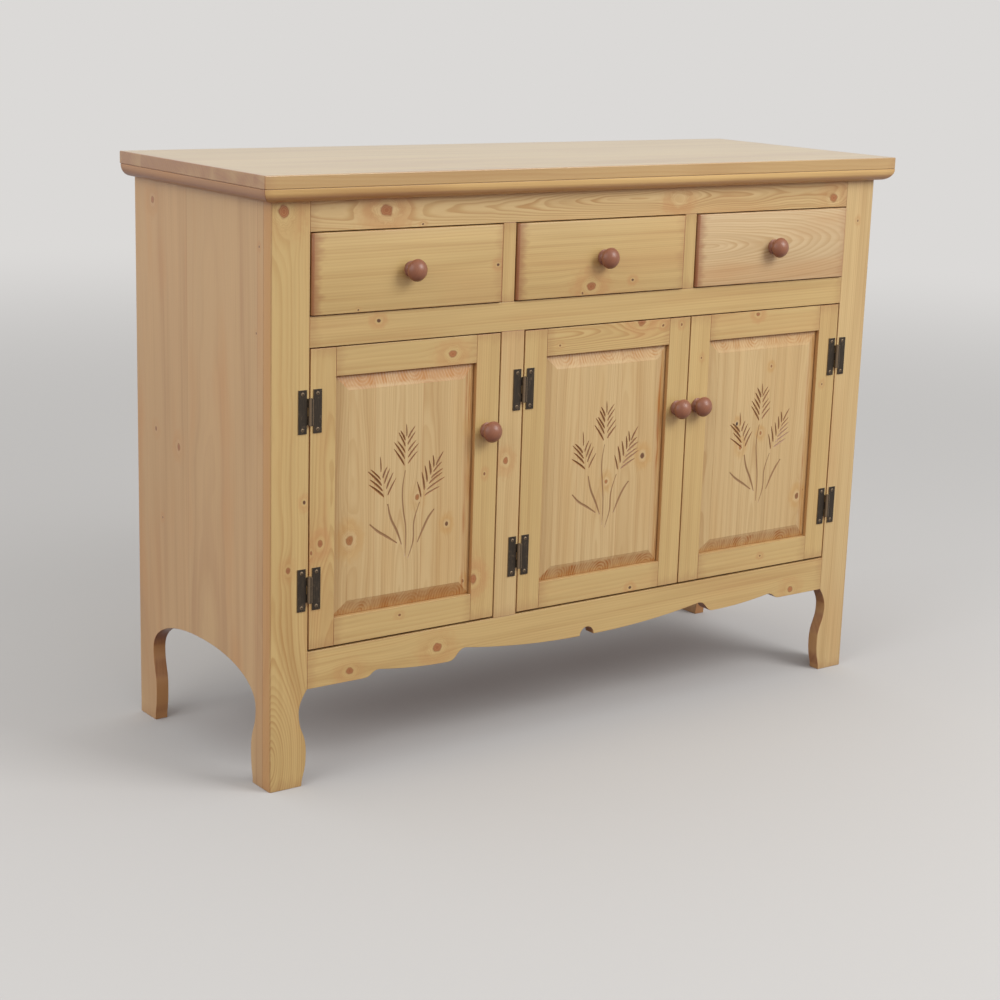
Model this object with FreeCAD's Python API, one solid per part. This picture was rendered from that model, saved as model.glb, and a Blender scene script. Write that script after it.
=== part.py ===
# Country pine sideboard: three drawers over three panelled doors, on shaped feet.
# The front faces -Y, +X is to the right seen from the front, +Z is up.
# The origin is the centre of the outer box at floor level. All sizes are in millimetres.

import FreeCAD
import Part
import math
import os

V = FreeCAD.Vector

# Top and moulding
top_length = 1146.0
top_depth = 421.0
top_thickness = 18.0
top_edge_round = 1.5
overhang = 22.0
back_overhang = 3.0
moulding_height = 18.0
moulding_round = 17.0

# Boards of the carcase
frame_thickness = 20.0
side_thickness = 20.0
inner_board_thickness = 15.0
back_thickness = 6.0
back_rebate_width = 8.0
housing_depth = 6.0
partition_housing = 4.0

# Face frame
stile_width = 59.0
stile_round = 3.0
top_rail_reveal = 41.0
drawer_opening_height = 112.0
middle_rail_height = 42.0
door_opening_height = 424.0
apron_height = 54.0
apron_clearance = 141.0
mullion_width = 40.0
divider_width = 22.0
tenon_thickness = 8.0
tenon_length = 15.0
tenon_shoulder = 6.0
upright_tenon_length = 12.0
upright_tenon_shoulder = 4.0

# Shaped feet: the stile's foot is cut in from the stile's inner edge
foot_neck_drop = 21.0
foot_belly_share = 0.45
stile_neck_inset = 11.0
stile_belly_inset = 1.0
stile_floor_inset = 6.0

# Feet of the sides, each width counted from the outer edge of the foot
side_front_neck = 40.0
side_front_belly = 50.0
side_rear_neck = 46.0
side_rear_belly = 55.0
side_floor_width = 48.0
arch_spring_drop = 25.0
arch_head = 6.0

# Scalloped lower edge of the apron: where each wave and step ends, from the middle to the stile
notch_radius = 13.0
long_wave_share = 0.4654
long_step_share = 0.5081
short_wave_share = 0.7744
short_step_share = 0.8069
long_wave_rise = 17.0
short_wave_rise = 9.5

# Doors
door_gap = 2.0
door_top_gap = 1.5
door_bottom_gap = 3.0
door_thickness = 20.0
door_frame_width = 40.0
panel_groove_width = 6.0
panel_groove_depth = 8.0
panel_play = 1.0
panel_bevel_width = 21.0
panel_field_setback = 1.2
panel_field_step = 0.8

# Drawers
drawer_gap = 1.5
drawer_proud = 4.0
drawer_front_thickness = 20.0
drawer_end_round = 3.5
drawer_edge_round = 1.2
drawer_side_thickness = 12.0
drawer_side_headroom = 7.8
drawer_side_inset = 1.0
drawer_side_housing = 8.0
drawer_back_inset = 10.0
drawer_back_housing = 4.0
drawer_bottom_thickness = 4.0
drawer_bottom_lift = 10.0
drawer_bottom_groove = 5.0
running_clearance = 0.2

# Runners and kickers of the drawers
runner_height = 20.0
runner_ledge = 14.0
guide_height = 20.0

# Shelves
shelf_lift = 205.0
shelf_play = 1.0
shelf_front_setback = 28.0
shelf_pin_radius = 2.5
shelf_pin_embed = 7.0
shelf_pin_reach = 8.0
shelf_pin_setback = 60.0

# Turned knobs
knob_reach = 27.0
knob_head_radius = 15.5
knob_rim_radius = 3.5
knob_neck_radius = 6.6
knob_neck_height = 8.0
knob_base_radius = 10.5
knob_base_height = 2.0
knob_spigot_radius = 4.5
knob_spigot_length = 14.0
door_knob_drop = 138.5

# Surface hinges, their middles counted from the top and bottom edge of the door
upper_hinge_drop = 84.5
lower_hinge_lift = 87.0
leaf_thickness = 1.3
strap_height = 60.0
strap_width = 13.0
strap_inner_edge = 5.2
bridge_inner_edge = 4.1
knuckle_length = 12.0
knuckle_play = 0.1
pin_radius = 2.2
pin_clearance = 0.05
pin_head_radius = 3.0
pin_head_height = 0.8
screw_inset = 5.5
screw_head_radius = 2.7
screw_head_height = 1.3
screw_shank_radius = 1.4
screw_shank_length = 13.0

# Magnetic catches and their strike plates
catch_width = 34.0
catch_depth = 13.0
catch_height = 34.0
catch_drop = 13.5
catch_round = 1.5
strike_width = 28.0
strike_height = 9.0
strike_thickness = 1.2
strike_top_inset = 2.0

# Two lengths closer than this are the same length
rounding = 0.001

# Levels above the floor
apron_bottom = apron_clearance
door_bottom = apron_bottom + apron_height
door_top = door_bottom + door_opening_height
drawer_bottom = door_top + middle_rail_height
drawer_top = drawer_bottom + drawer_opening_height
moulding_bottom = drawer_top + top_rail_reveal
top_underside = moulding_bottom + moulding_height
overall_height = top_underside + top_thickness
bottom_board_underside = door_bottom - inner_board_thickness
shelf_underside = door_bottom + shelf_lift

# Feet and arches
foot_neck_height = apron_bottom - foot_neck_drop
foot_belly_height = foot_neck_height * foot_belly_share
arch_spring_height = apron_bottom - arch_spring_drop
arch_rise = bottom_board_underside - arch_head - arch_spring_height

# Planes from front to back
body_width = top_length - 2 * overhang
body_depth = top_depth - overhang - back_overhang
face = (knob_reach + drawer_proud - body_depth - back_overhang) / 2
frame_back = face + frame_thickness
carcase_back = face + body_depth
back_panel_front = carcase_back - back_thickness
back_rail_front = back_panel_front - frame_thickness
drawer_face = face - drawer_proud

# Planes from left to right
half_body = body_width / 2
half_opening = half_body - stile_width
half_inside = half_body - side_thickness
drawer_opening_width = (2 * half_opening - 2 * divider_width) / 3
divider_centre = (drawer_opening_width + divider_width) / 2
door_width = (2 * half_opening - mullion_width - 5 * door_gap) / 3
mullion_left = door_width + 2 * door_gap - half_opening
mullion_right = mullion_left + mullion_width
mullion_centre = (mullion_left + mullion_right) / 2
partition_left = mullion_centre - inner_board_thickness / 2
partition_right = mullion_centre + inner_board_thickness / 2

# Hinge axis: the curl of a leaf touches the face of the frame
knuckle_radius = pin_radius + pin_clearance + leaf_thickness
hinge_axis_y = face - knuckle_radius
barrel_length = 3 * knuckle_length
strap_centre = strap_inner_edge + strap_width / 2

# Each door: name, left edge, and 1 where it hangs at its left edge or -1 at its right
doors = (
    ("left_door", door_gap - half_opening, 1),
    ("middle_door", mullion_right + door_gap, 1),
    ("right_door", half_opening - door_gap - door_width, -1),
)
door_low = door_bottom + door_bottom_gap
door_high = door_top - door_top_gap
door_knob_height = door_high - door_knob_drop
hinge_heights = (door_high - upper_hinge_drop, door_low + lower_hinge_lift)

# Each drawer: name and the left edge of its opening
drawers = (
    ("left_drawer", -half_opening),
    ("middle_drawer", divider_width / 2 + divider_centre - drawer_opening_width - divider_width),
    ("right_drawer", half_opening - drawer_opening_width),
)


def block(x_low, x_high, y_low, y_high, z_low, z_high):
    """A rectangular board between three pairs of planes."""
    return Part.makeBox(x_high - x_low, y_high - y_low, z_high - z_low, V(x_low, y_low, z_low))


def rod(radius, length, start, direction):
    """A round rod from a point along a direction."""
    return Part.makeCylinder(radius, length, start, direction)


def prism(edges, along):
    """A closed outline pushed along a vector."""
    return Part.Face(Part.Wire(Part.__sortEdges__(edges))).extrude(along)


def straight(points):
    """Straight edges from point to point."""
    return [Part.makeLine(a, b) for a, b in zip(points, points[1:])]


def smooth(*poles):
    """One curved edge drawn by its control points."""
    curve = Part.BezierCurve()
    curve.setPoles(list(poles))
    return curve.toShape()


def mirrored(shape):
    """The same piece on the other side of the cabinet."""
    return shape.mirror(V(0, 0, 0), V(1, 0, 0))


def edges_where(shape, test):
    """The edges whose two ends both pass a test."""
    found = []
    for edge in shape.Edges:
        if len(edge.Vertexes) == 2 and all(test(v.Point) for v in edge.Vertexes):
            found.append(edge)
    return found


def near(a, b):
    """Whether two lengths are equal but for rounding."""
    return math.isclose(a, b, abs_tol=rounding)


def save(name, shape):
    """Write one piece, or one group of like pieces."""
    shape.exportStep(os.path.join("parts", name + ".step"))


def swelling(neck, belly, floor, neck_height, belly_height):
    """Poles of a foot's inner edge as (width, height): neck, belly, floor."""
    mid = (neck_height + belly_height) / 2
    upper = ((neck, neck_height), (neck, mid), (belly, mid), (belly, belly_height))
    lower = ((belly, belly_height), (belly, belly_height / 3), (floor, belly_height / 3), (floor, 0))
    return upper, lower


def rail_tenons(x_left, x_right, z_low, z_high):
    """The two tenons at the ends of a rail of the face frame."""
    y_low = face + (frame_thickness - tenon_thickness) / 2
    y_high = y_low + tenon_thickness
    low = z_low + tenon_shoulder
    high = z_high - tenon_shoulder
    left = block(x_left - tenon_length, x_left, y_low, y_high, low, high)
    right = block(x_right, x_right + tenon_length, y_low, y_high, low, high)
    return left.fuse(right)


def upright_tenons(x_left, x_right, z_low, z_high):
    """The two tenons at the ends of an upright of the face frame."""
    y_low = face + (frame_thickness - tenon_thickness) / 2
    y_high = y_low + tenon_thickness
    left = x_left + upright_tenon_shoulder
    right = x_right - upright_tenon_shoulder
    lower = block(left, right, y_low, y_high, z_low - upright_tenon_length, z_low)
    upper = block(left, right, y_low, y_high, z_high, z_high + upright_tenon_length)
    return lower.fuse(upper)


def divider_spans():
    """Left and right edges of the two uprights between the drawers."""
    half = divider_width / 2
    return [(centre - half, centre + half) for centre in (-divider_centre, divider_centre)]


def frame_rail_levels():
    """Lower and upper edge of the top rail, the middle rail and the apron."""
    return ((drawer_top, top_underside), (door_top, drawer_bottom), (apron_bottom, door_bottom))


def all_rail_tenons():
    """Every tenon that enters the two face stiles."""
    first, *others = [rail_tenons(-half_opening, half_opening, *level) for level in frame_rail_levels()]
    return first.fuse(others)


def all_upright_tenons():
    """Every tenon that enters the rails from the mullion and the drawer dividers."""
    mullion = upright_tenons(mullion_left, mullion_right, door_bottom, door_top)
    dividers = [upright_tenons(left, right, drawer_bottom, drawer_top) for left, right in divider_spans()]
    return mullion.fuse(dividers)


def screw_places(axis_x, toward):
    """The screw axes of one hinge side: (x, z) of each, for both hinges of a door."""
    x = axis_x + toward * strap_centre
    reach = strap_height / 2 - screw_inset
    return [(x, z + step) for z in hinge_heights for step in (-reach, reach)]


def screw_holes(places):
    """Pilot holes in the wood behind the screws of a hinge side."""
    inward = V(0, 1, 0)
    holes = [rod(screw_shank_radius, screw_shank_length, V(x, face, z), inward) for x, z in places]
    return holes[0].fuse(holes[1:])


def hinge_axis(left_edge, side):
    """X of a door's hinge axis: the middle of the gap at its hanging edge."""
    hanging_edge = left_edge if side > 0 else left_edge + door_width
    return hanging_edge - side * door_gap / 2


# Top


def top_board():
    """The top, with its arrises eased at the front and both ends."""
    half = top_length / 2
    rear = carcase_back + back_overhang
    board = block(-half, half, face - overhang, rear, top_underside, overall_height)
    front = edges_where(board, lambda p: near(p.y, face - overhang))
    return board.makeFillet(top_edge_round, front)


def moulding_profile(corner, outward):
    """Section of the quarter-round moulding: flush with the top's edge, hollowing back to the body."""
    quirk = moulding_height - moulding_round
    centre = corner + outward * (overhang - moulding_round) + V(0, 0, -quirk)
    outer = centre + outward * moulding_round
    foot = centre + V(0, 0, -moulding_round)
    diagonal = math.sqrt(2) / 2 * moulding_round
    middle = centre + outward * diagonal + V(0, 0, -diagonal)
    edges = straight([foot, corner + V(0, 0, -moulding_height), corner, corner + outward * overhang, outer])
    return edges + [Part.Arc(outer, middle, foot).toShape()]


def plan_wedge(points):
    """A mitre pattern: a plan outline as high as the moulding."""
    corners = [V(x, y, moulding_bottom) for x, y in points]
    return prism(straight(corners + corners[:1]), V(0, 0, moulding_height))


def top_moulding():
    """Front and side lengths of moulding, mitred at the two front corners."""
    start = V(-half_body - overhang, face, top_underside)
    front_run = prism(moulding_profile(start, V(0, -1, 0)), V(top_length, 0, 0))
    outer = half_body + overhang
    outer_front = face - overhang
    left_mitre = ((-outer, outer_front), (-half_body, face))
    front_plan = plan_wedge(((half_body, face), (outer, outer_front)) + left_mitre)
    side_start = V(-half_body, outer_front, top_underside)
    side_run = prism(moulding_profile(side_start, V(-1, 0, 0)), V(0, body_depth + overhang, 0))
    side_plan = plan_wedge(left_mitre + ((-half_body, carcase_back), (-outer, carcase_back)))
    left = side_run.common(side_plan)
    return Part.makeCompound([front_run.common(front_plan), left, mirrored(left)])


# Carcase


def side_outline():
    """A side seen from its end: shaped feet and an arch between them."""

    def at(depth, height):
        return V(-half_body, depth, height)

    heights = (arch_spring_height, foot_belly_height)
    front = swelling(side_front_neck, side_front_belly, side_floor_width, *heights)
    rear = swelling(side_rear_neck, side_rear_belly, side_floor_width, *heights)
    curves = [smooth(*[at(face + width, height) for width, height in poles]) for poles in front]
    curves += [smooth(*[at(carcase_back - width, height) for width, height in poles]) for poles in rear]
    spring_front = face + side_front_neck
    spring_rear = carcase_back - side_rear_neck
    centre = at((spring_front + spring_rear) / 2, arch_spring_height)
    ellipse = Part.Ellipse(at(spring_rear, arch_spring_height), centre + V(0, 0, arch_rise), centre)
    curves.append(Part.Arc(ellipse, 0, math.pi).toShape())
    outer = straight(
        [
            at(face + side_floor_width, 0),
            at(frame_back, 0),
            at(frame_back, top_underside),
            at(carcase_back, top_underside),
            at(carcase_back, 0),
            at(carcase_back - side_floor_width, 0),
        ]
    )
    return outer + curves


def back_rail_levels():
    """Lower and upper edge of the two rails across the back."""
    return ((drawer_top, top_underside), (door_top, drawer_bottom))


def side_panel():
    """The left side, housed for the bottom board and back rails and rebated for the back."""
    panel = prism(side_outline(), V(side_thickness, 0, 0))
    inner = -half_inside
    sunk = inner - housing_depth
    cuts = [block(sunk, inner, frame_back, back_panel_front, bottom_board_underside, door_bottom)]
    for low, high in back_rail_levels():
        cuts.append(block(sunk, inner, back_rail_front, back_panel_front, low, high))
    rebate = inner - back_rebate_width
    cuts.append(block(rebate, inner, back_panel_front, carcase_back, bottom_board_underside, top_underside))
    cuts += shelf_pin_holes(inner, -1)
    return panel.cut(cuts)


def bottom_board():
    """The floor of the cupboards, grooved for the partition."""
    reach = half_inside + housing_depth
    depth = (frame_back, back_panel_front)
    board = block(-reach, reach, *depth, bottom_board_underside, door_bottom)
    groove_floor = door_bottom - partition_housing
    return board.cut(block(partition_left, partition_right, *depth, groove_floor, door_bottom))


def partition():
    """The upright between the two cupboards, notched under the rear rail."""
    low = door_bottom - partition_housing
    runner_underside = drawer_bottom - runner_height
    faces = (partition_left, partition_right)
    board = block(*faces, frame_back, back_panel_front, low, runner_underside)
    notch = block(*faces, back_rail_front, back_panel_front, door_top, runner_underside)
    holes = shelf_pin_holes(partition_left, 1) + shelf_pin_holes(partition_right, -1)
    return board.cut([notch] + holes)


def back_panel():
    """The thin back, let into the rebates of the sides."""
    reach = half_inside + back_rebate_width
    return block(-reach, reach, back_panel_front, carcase_back, bottom_board_underside, top_underside)


def back_rails():
    """The two rails that carry the rear ends of the kickers and runners."""
    reach = half_inside + housing_depth
    depth = (back_rail_front, back_panel_front)
    return Part.makeCompound([block(-reach, reach, *depth, *levels) for levels in back_rail_levels()])


def shelf_pin_points(x):
    """Where the pins of one shelf end leave the upright that holds them."""
    z = shelf_underside - shelf_pin_radius
    depths = (frame_back + shelf_pin_setback, back_panel_front - shelf_pin_setback)
    return [V(x, y, z) for y in depths]


def shelf_pin_holes(x, into):
    """Sockets for the pins of one shelf end."""
    return [rod(shelf_pin_radius, shelf_pin_embed, point, V(into, 0, 0)) for point in shelf_pin_points(x)]


def shelf_pins():
    """Eight round pins, two under each end of each shelf."""
    length = shelf_pin_embed + shelf_pin_reach
    ends = ((-half_inside, 1), (partition_left, -1), (partition_right, 1), (half_inside, -1))
    pins = []
    for x, out in ends:
        for point in shelf_pin_points(x - out * shelf_pin_embed):
            pins.append(rod(shelf_pin_radius, length, point, V(out, 0, 0)))
    return Part.makeCompound(pins)


def shelf(x_left, x_right):
    """A loose shelf lying on its pins."""
    front = frame_back + shelf_front_setback
    rear = back_panel_front - shelf_play
    left = x_left + shelf_play
    right = x_right - shelf_play
    return block(left, right, front, rear, shelf_underside, shelf_underside + inner_board_thickness)


# Face frame


def face_stile():
    """The left face stile, with a shaped foot, mortised for the rails."""

    def at(width, height):
        return V(width - half_body, face, height)

    neck = stile_width - stile_neck_inset
    floor = stile_width - stile_floor_inset
    upper, lower = swelling(neck, stile_width - stile_belly_inset, floor, foot_neck_height, foot_belly_height)
    shoulder = smooth(at(stile_width, apron_bottom), at(neck, apron_bottom), at(neck, foot_neck_height))
    curves = [shoulder] + [smooth(*[at(*pole) for pole in poles]) for poles in (upper, lower)]
    outer = straight(
        [
            at(floor, 0),
            at(0, 0),
            at(0, top_underside),
            at(stile_width, top_underside),
            at(stile_width, apron_bottom),
        ]
    )
    stile = prism(outer + curves, V(0, frame_thickness, 0))
    corner = edges_where(stile, lambda p: near(p.x, -half_body) and near(p.y, face))
    stile = stile.makeFillet(stile_round, corner)
    return stile.cut(all_rail_tenons())


def rail(x_left, x_right, z_low, z_high):
    """A rail of the face frame with its tenons."""
    board = block(x_left, x_right, face, frame_back, z_low, z_high)
    return board.fuse(rail_tenons(x_left, x_right, z_low, z_high)).removeSplitter()


def upright(x_left, x_right, z_low, z_high):
    """An upright of the face frame with its tenons."""
    board = block(x_left, x_right, face, frame_back, z_low, z_high)
    return board.fuse(upright_tenons(x_left, x_right, z_low, z_high)).removeSplitter()


def apron_scallop():
    """The right half of the apron's lower edge, from the middle notch to the stile."""

    def at(reach, rise):
        return V(reach, face, apron_bottom + rise)

    def step(start, rise, end):
        middle = (start + end) / 2
        return smooth(at(start, rise), at(middle, rise), at(middle, 0), at(end, 0))

    notch = Part.Arc(
        at(0, notch_radius),
        at(notch_radius * math.sin(math.pi / 4), notch_radius * math.cos(math.pi / 4)),
        at(notch_radius, 0),
    )
    long_wave_end = half_opening * long_wave_share
    long_step_end = half_opening * long_step_share
    short_wave_end = half_opening * short_wave_share
    short_step_end = half_opening * short_step_share
    middle_long = (notch_radius + long_wave_end) / 2
    middle_short = (long_step_end + short_wave_end) / 2
    return [
        notch.toShape(),
        smooth(at(notch_radius, 0), at(middle_long, 0), at(long_wave_end, long_wave_rise)),
        step(long_wave_end, long_wave_rise, long_step_end),
        smooth(at(long_step_end, 0), at(middle_short, 0), at(short_wave_end, short_wave_rise)),
        step(short_wave_end, short_wave_rise, short_step_end),
    ] + straight([at(short_step_end, 0), at(half_opening, 0)])


def apron():
    """The scalloped board under the doors, with its tenons."""
    half = apron_scallop()
    lower = half + [mirrored(edge) for edge in half]
    low_left = V(-half_opening, face, apron_bottom)
    low_right = V(half_opening, face, apron_bottom)
    lift = V(0, 0, apron_height)
    upper = straight([low_left, low_left + lift, low_right + lift, low_right])
    board = prism(lower + upper, V(0, frame_thickness, 0))
    board = board.fuse(rail_tenons(-half_opening, half_opening, apron_bottom, door_bottom)).removeSplitter()
    return board.cut(all_upright_tenons())


# Runners and kickers


def runner_section(guide_left, guide_right, ledge_left, ledge_right):
    """A runner: the ledges carry the drawer sides, the guide stands between them."""
    low = drawer_bottom - runner_height
    ledges = block(ledge_left, ledge_right, frame_back, back_rail_front, low, drawer_bottom)
    guide = block(guide_left, guide_right, frame_back, back_rail_front, low, drawer_bottom + guide_height)
    return ledges.fuse(guide).removeSplitter()


def kicker(ledge_left, ledge_right):
    """A batten above the drawer sides that stops an open drawer from tipping."""
    return block(ledge_left, ledge_right, frame_back, back_rail_front, drawer_top, drawer_top + runner_height)


def runner_plans():
    """Guide and ledge edges of the four runners, from left to right."""
    end = (-half_inside, -half_opening, -half_inside, runner_ledge - half_opening)
    plans = [end]
    for left, right in divider_spans():
        plans.append((left, right, left - runner_ledge, right + runner_ledge))
    plans.append((-end[1], -end[0], -end[3], -end[2]))
    return plans


# Doors


def door_stile(x_left, inner_side):
    """A full-height door stile, grooved along its inner edge."""
    x_right = x_left + door_frame_width
    board = block(x_left, x_right, face, face + door_thickness, door_low, door_high)
    groove_y = face + (door_thickness - panel_groove_width) / 2
    inner = x_right - panel_groove_depth if inner_side > 0 else x_left
    groove = block(
        inner, inner + panel_groove_depth, groove_y, groove_y + panel_groove_width, door_low, door_high
    )
    return board.cut(groove)


def door_rail(x_left, x_right, z_low, groove_low):
    """A door rail with stub tongues that fill the stile grooves."""
    groove_y = face + (door_thickness - panel_groove_width) / 2
    groove_back = groove_y + panel_groove_width
    left = x_left - panel_groove_depth
    right = x_right + panel_groove_depth
    z_high = z_low + door_frame_width
    board = block(x_left, x_right, face, face + door_thickness, z_low, z_high)
    tongue = block(left, right, groove_y, groove_back, z_low, z_high)
    groove = block(left, right, groove_y, groove_back, groove_low, groove_low + panel_groove_depth)
    return board.fuse(tongue).cut(groove).removeSplitter()


def rectangle(x_low, x_high, y, z_low, z_high):
    """A closed upright rectangle."""
    corners = [V(x_low, y, z_low), V(x_high, y, z_low), V(x_high, y, z_high), V(x_low, y, z_high)]
    return Part.Wire(straight(corners + corners[:1]))


def door_panel(x_left, x_right, z_low, z_high):
    """A fielded panel: a tongue in the grooves, wide bevels and a raised flat field."""
    tongue_front = face + (door_thickness - panel_groove_width) / 2
    tongue_back = tongue_front + panel_groove_width
    reach = panel_groove_depth - panel_play
    tongue = block(x_left - reach, x_right + reach, tongue_front, tongue_back, z_low - reach, z_high + reach)
    field_front = face + panel_field_setback
    bevel_top = field_front + panel_field_step
    inset = panel_bevel_width
    field = (x_left + inset, x_right - inset, z_low + inset, z_high - inset)
    wide = rectangle(x_left, x_right, tongue_front, z_low, z_high)
    narrow = rectangle(field[0], field[1], bevel_top, field[2], field[3])
    bevels = Part.makeLoft([wide, narrow], True, True)
    raised = block(field[0], field[1], field_front, tongue_front, field[2], field[3])
    return tongue.fuse([bevels, raised]).removeSplitter()


def knob(centre):
    """A turned knob: coved base, narrow neck, rounded rim, domed face and a spigot let into the wood."""

    def at(radius, reach):
        return V(centre.x + radius, centre.y - reach, centre.z)

    def arc(radius, reach, size, start, end):
        middle = (start + end) / 2
        points = [at(radius + size * math.cos(a), reach + size * math.sin(a)) for a in (start, middle, end)]
        return Part.Arc(*points).toShape()

    cove_width = knob_base_radius - knob_neck_radius
    cove_height = knob_neck_height - knob_base_height
    cove = (cove_width**2 + cove_height**2) / 2 / cove_width
    rim_centre = knob_head_radius - knob_rim_radius
    flare = rim_centre - knob_neck_radius
    rim_height = knob_neck_height + flare + knob_rim_radius
    crown = knob_reach - rim_height
    dome = (rim_centre**2 + crown**2 - knob_rim_radius**2) / 2 / (crown - knob_rim_radius)
    brow = math.atan2(rim_height - knob_reach + dome, rim_centre)
    cove_turn = math.asin(cove_height / cove)
    curves = [
        arc(knob_neck_radius + cove, knob_neck_height, cove, math.pi, math.pi + cove_turn),
        arc(rim_centre, knob_neck_height, flare, math.pi, math.pi / 2),
        arc(rim_centre, rim_height, knob_rim_radius, -math.pi / 2, brow),
        arc(0, knob_reach - dome, dome, brow, math.pi / 2),
    ]
    inside = straight(
        [
            at(0, knob_reach),
            at(0, -knob_spigot_length),
            at(knob_spigot_radius, -knob_spigot_length),
            at(knob_spigot_radius, 0),
            at(knob_base_radius, 0),
            at(knob_base_radius, knob_base_height),
        ]
    )
    outline = Part.Wire(Part.__sortEdges__(inside + curves))
    return Part.Face(outline).revolve(centre, V(0, 1, 0), 360)


def knob_hole(centre):
    """The blind hole that takes a knob's spigot."""
    return rod(knob_spigot_radius, knob_spigot_length, centre, V(0, 1, 0))


def strike_plate(x_centre):
    """The steel plate let into the back of a door, opposite the catch."""
    high = door_high - strike_top_inset
    back = face + door_thickness
    half = strike_width / 2
    return block(x_centre - half, x_centre + half, back - strike_thickness, back, high - strike_height, high)


def hinge_leaf(axis_x, z, toward, levels):
    """One leaf: a strap, a bridge and the knuckles at the given levels of the barrel."""

    def across(near_edge, far_edge, low, high):
        x_a = axis_x + toward * near_edge
        x_b = axis_x + toward * far_edge
        return block(min(x_a, x_b), max(x_a, x_b), face - leaf_thickness, face, low, high)

    half_strap = strap_height / 2
    half_barrel = barrel_length / 2
    strap_outer = strap_inner_edge + strap_width
    leaf = across(strap_inner_edge, strap_outer, z - half_strap, z + half_strap)
    leaf = leaf.fuse(across(bridge_inner_edge, strap_inner_edge, z - half_barrel, z + half_barrel))
    bores = []
    for level in levels:
        low = z - half_barrel + level * knuckle_length + knuckle_play / 2
        length = knuckle_length - knuckle_play
        start = V(axis_x, hinge_axis_y, low)
        leaf = leaf.fuse(across(0, bridge_inner_edge, low, low + length))
        leaf = leaf.fuse(rod(knuckle_radius, length, start, V(0, 0, 1)))
        bores.append(rod(pin_radius + pin_clearance, length, start, V(0, 0, 1)))
    reach = half_strap - screw_inset
    for step in (-reach, reach):
        x = axis_x + toward * strap_centre
        bores.append(rod(screw_shank_radius, leaf_thickness, V(x, face, z + step), V(0, -1, 0)))
    return leaf.cut(bores).removeSplitter()


def hinge_pin(axis_x, z):
    """A pin through the barrel with a flat head at each end."""
    half = barrel_length / 2
    foot = V(axis_x, hinge_axis_y, z - half)
    head = V(axis_x, hinge_axis_y, z + half - knuckle_play / 2)
    low_head = rod(pin_head_radius, pin_head_height, foot + V(0, 0, knuckle_play / 2), V(0, 0, -1))
    high_head = rod(pin_head_radius, pin_head_height, head, V(0, 0, 1))
    shank = rod(pin_radius, barrel_length - knuckle_play, foot + V(0, 0, knuckle_play / 2), V(0, 0, 1))
    return shank.fuse([low_head, high_head])


def hinge_screw(x, z):
    """A round-head screw through a leaf into the wood."""
    seat = face - leaf_thickness
    crown = seat - screw_head_height

    def at(radius, y):
        return V(x + radius, y, z)

    dome_radius = (screw_head_radius**2 + screw_head_height**2) / 2 / screw_head_height
    half_angle = math.asin(screw_head_radius / dome_radius) / 2
    shoulder = crown + dome_radius * (1 - math.cos(half_angle))
    middle = at(dome_radius * math.sin(half_angle), shoulder)
    dome = Part.Arc(at(screw_head_radius, seat), middle, at(0, crown)).toShape()
    tip = face + screw_shank_length
    shank = [at(0, crown), at(0, tip), at(screw_shank_radius, tip), at(screw_shank_radius, seat)]
    inside = straight(shank + [at(screw_head_radius, seat)])
    outline = Part.Wire(Part.__sortEdges__(inside + [dome]))
    return Part.Face(outline).revolve(V(x, face, z), V(0, 1, 0), 360)


def hinge_side(axis_x, toward, levels):
    """Both leaves on one side of a door's two hinges."""
    return [hinge_leaf(axis_x, z, toward, levels) for z in hinge_heights]


def save_door(name, left_edge, side):
    """Every piece of one door."""
    right_edge = left_edge + door_width
    inner_left = left_edge + door_frame_width
    inner_right = right_edge - door_frame_width
    inner_low = door_low + door_frame_width
    inner_high = door_high - door_frame_width
    axis_x = hinge_axis(left_edge, side)
    lock_centre = (right_edge if side > 0 else left_edge) - side * door_frame_width / 2
    knob_centre = V(lock_centre, face, door_knob_height)
    places = screw_places(axis_x, side)
    cuts = [screw_holes(places), knob_hole(knob_centre), strike_plate(lock_centre)]
    stiles = [door_stile(left_edge, 1).cut(cuts), door_stile(inner_right, -1).cut(cuts)]
    save(name + "_stiles", Part.makeCompound(stiles))
    lower = door_rail(inner_left, inner_right, door_low, inner_low - panel_groove_depth)
    upper = door_rail(inner_left, inner_right, inner_high, inner_high)
    save(name + "_rails", Part.makeCompound([lower, upper]))
    save(name + "_panel", door_panel(inner_left, inner_right, inner_low, inner_high))
    save(name + "_knob", knob(knob_centre))
    save(name + "_hinge_leaves", Part.makeCompound(hinge_side(axis_x, side, (1,))))
    save(name + "_hinge_screws", Part.makeCompound([hinge_screw(x, z) for x, z in places]))
    save(name + "_strike_plate", strike_plate(lock_centre))


# Drawers


def drawer_front(left, right, centre):
    """The solid drawer front, rounded at its ends and a little proud of the frame."""
    back = drawer_face + drawer_front_thickness
    board = block(left, right, drawer_face, back, drawer_bottom + drawer_gap, drawer_top - drawer_gap)
    on_face = edges_where(board, lambda p: near(p.y, drawer_face))
    upright_edges = [edge for edge in on_face if near(edge.Vertexes[0].X, edge.Vertexes[1].X)]
    board = board.makeFillet(drawer_end_round, upright_edges)
    level_edges = [
        edge
        for edge in edges_where(board, lambda p: near(p.y, drawer_face))
        if near(edge.Vertexes[0].Z, edge.Vertexes[1].Z)
    ]
    board = board.makeChamfer(drawer_edge_round, level_edges)
    return board.cut(knob_hole(centre))


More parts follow.
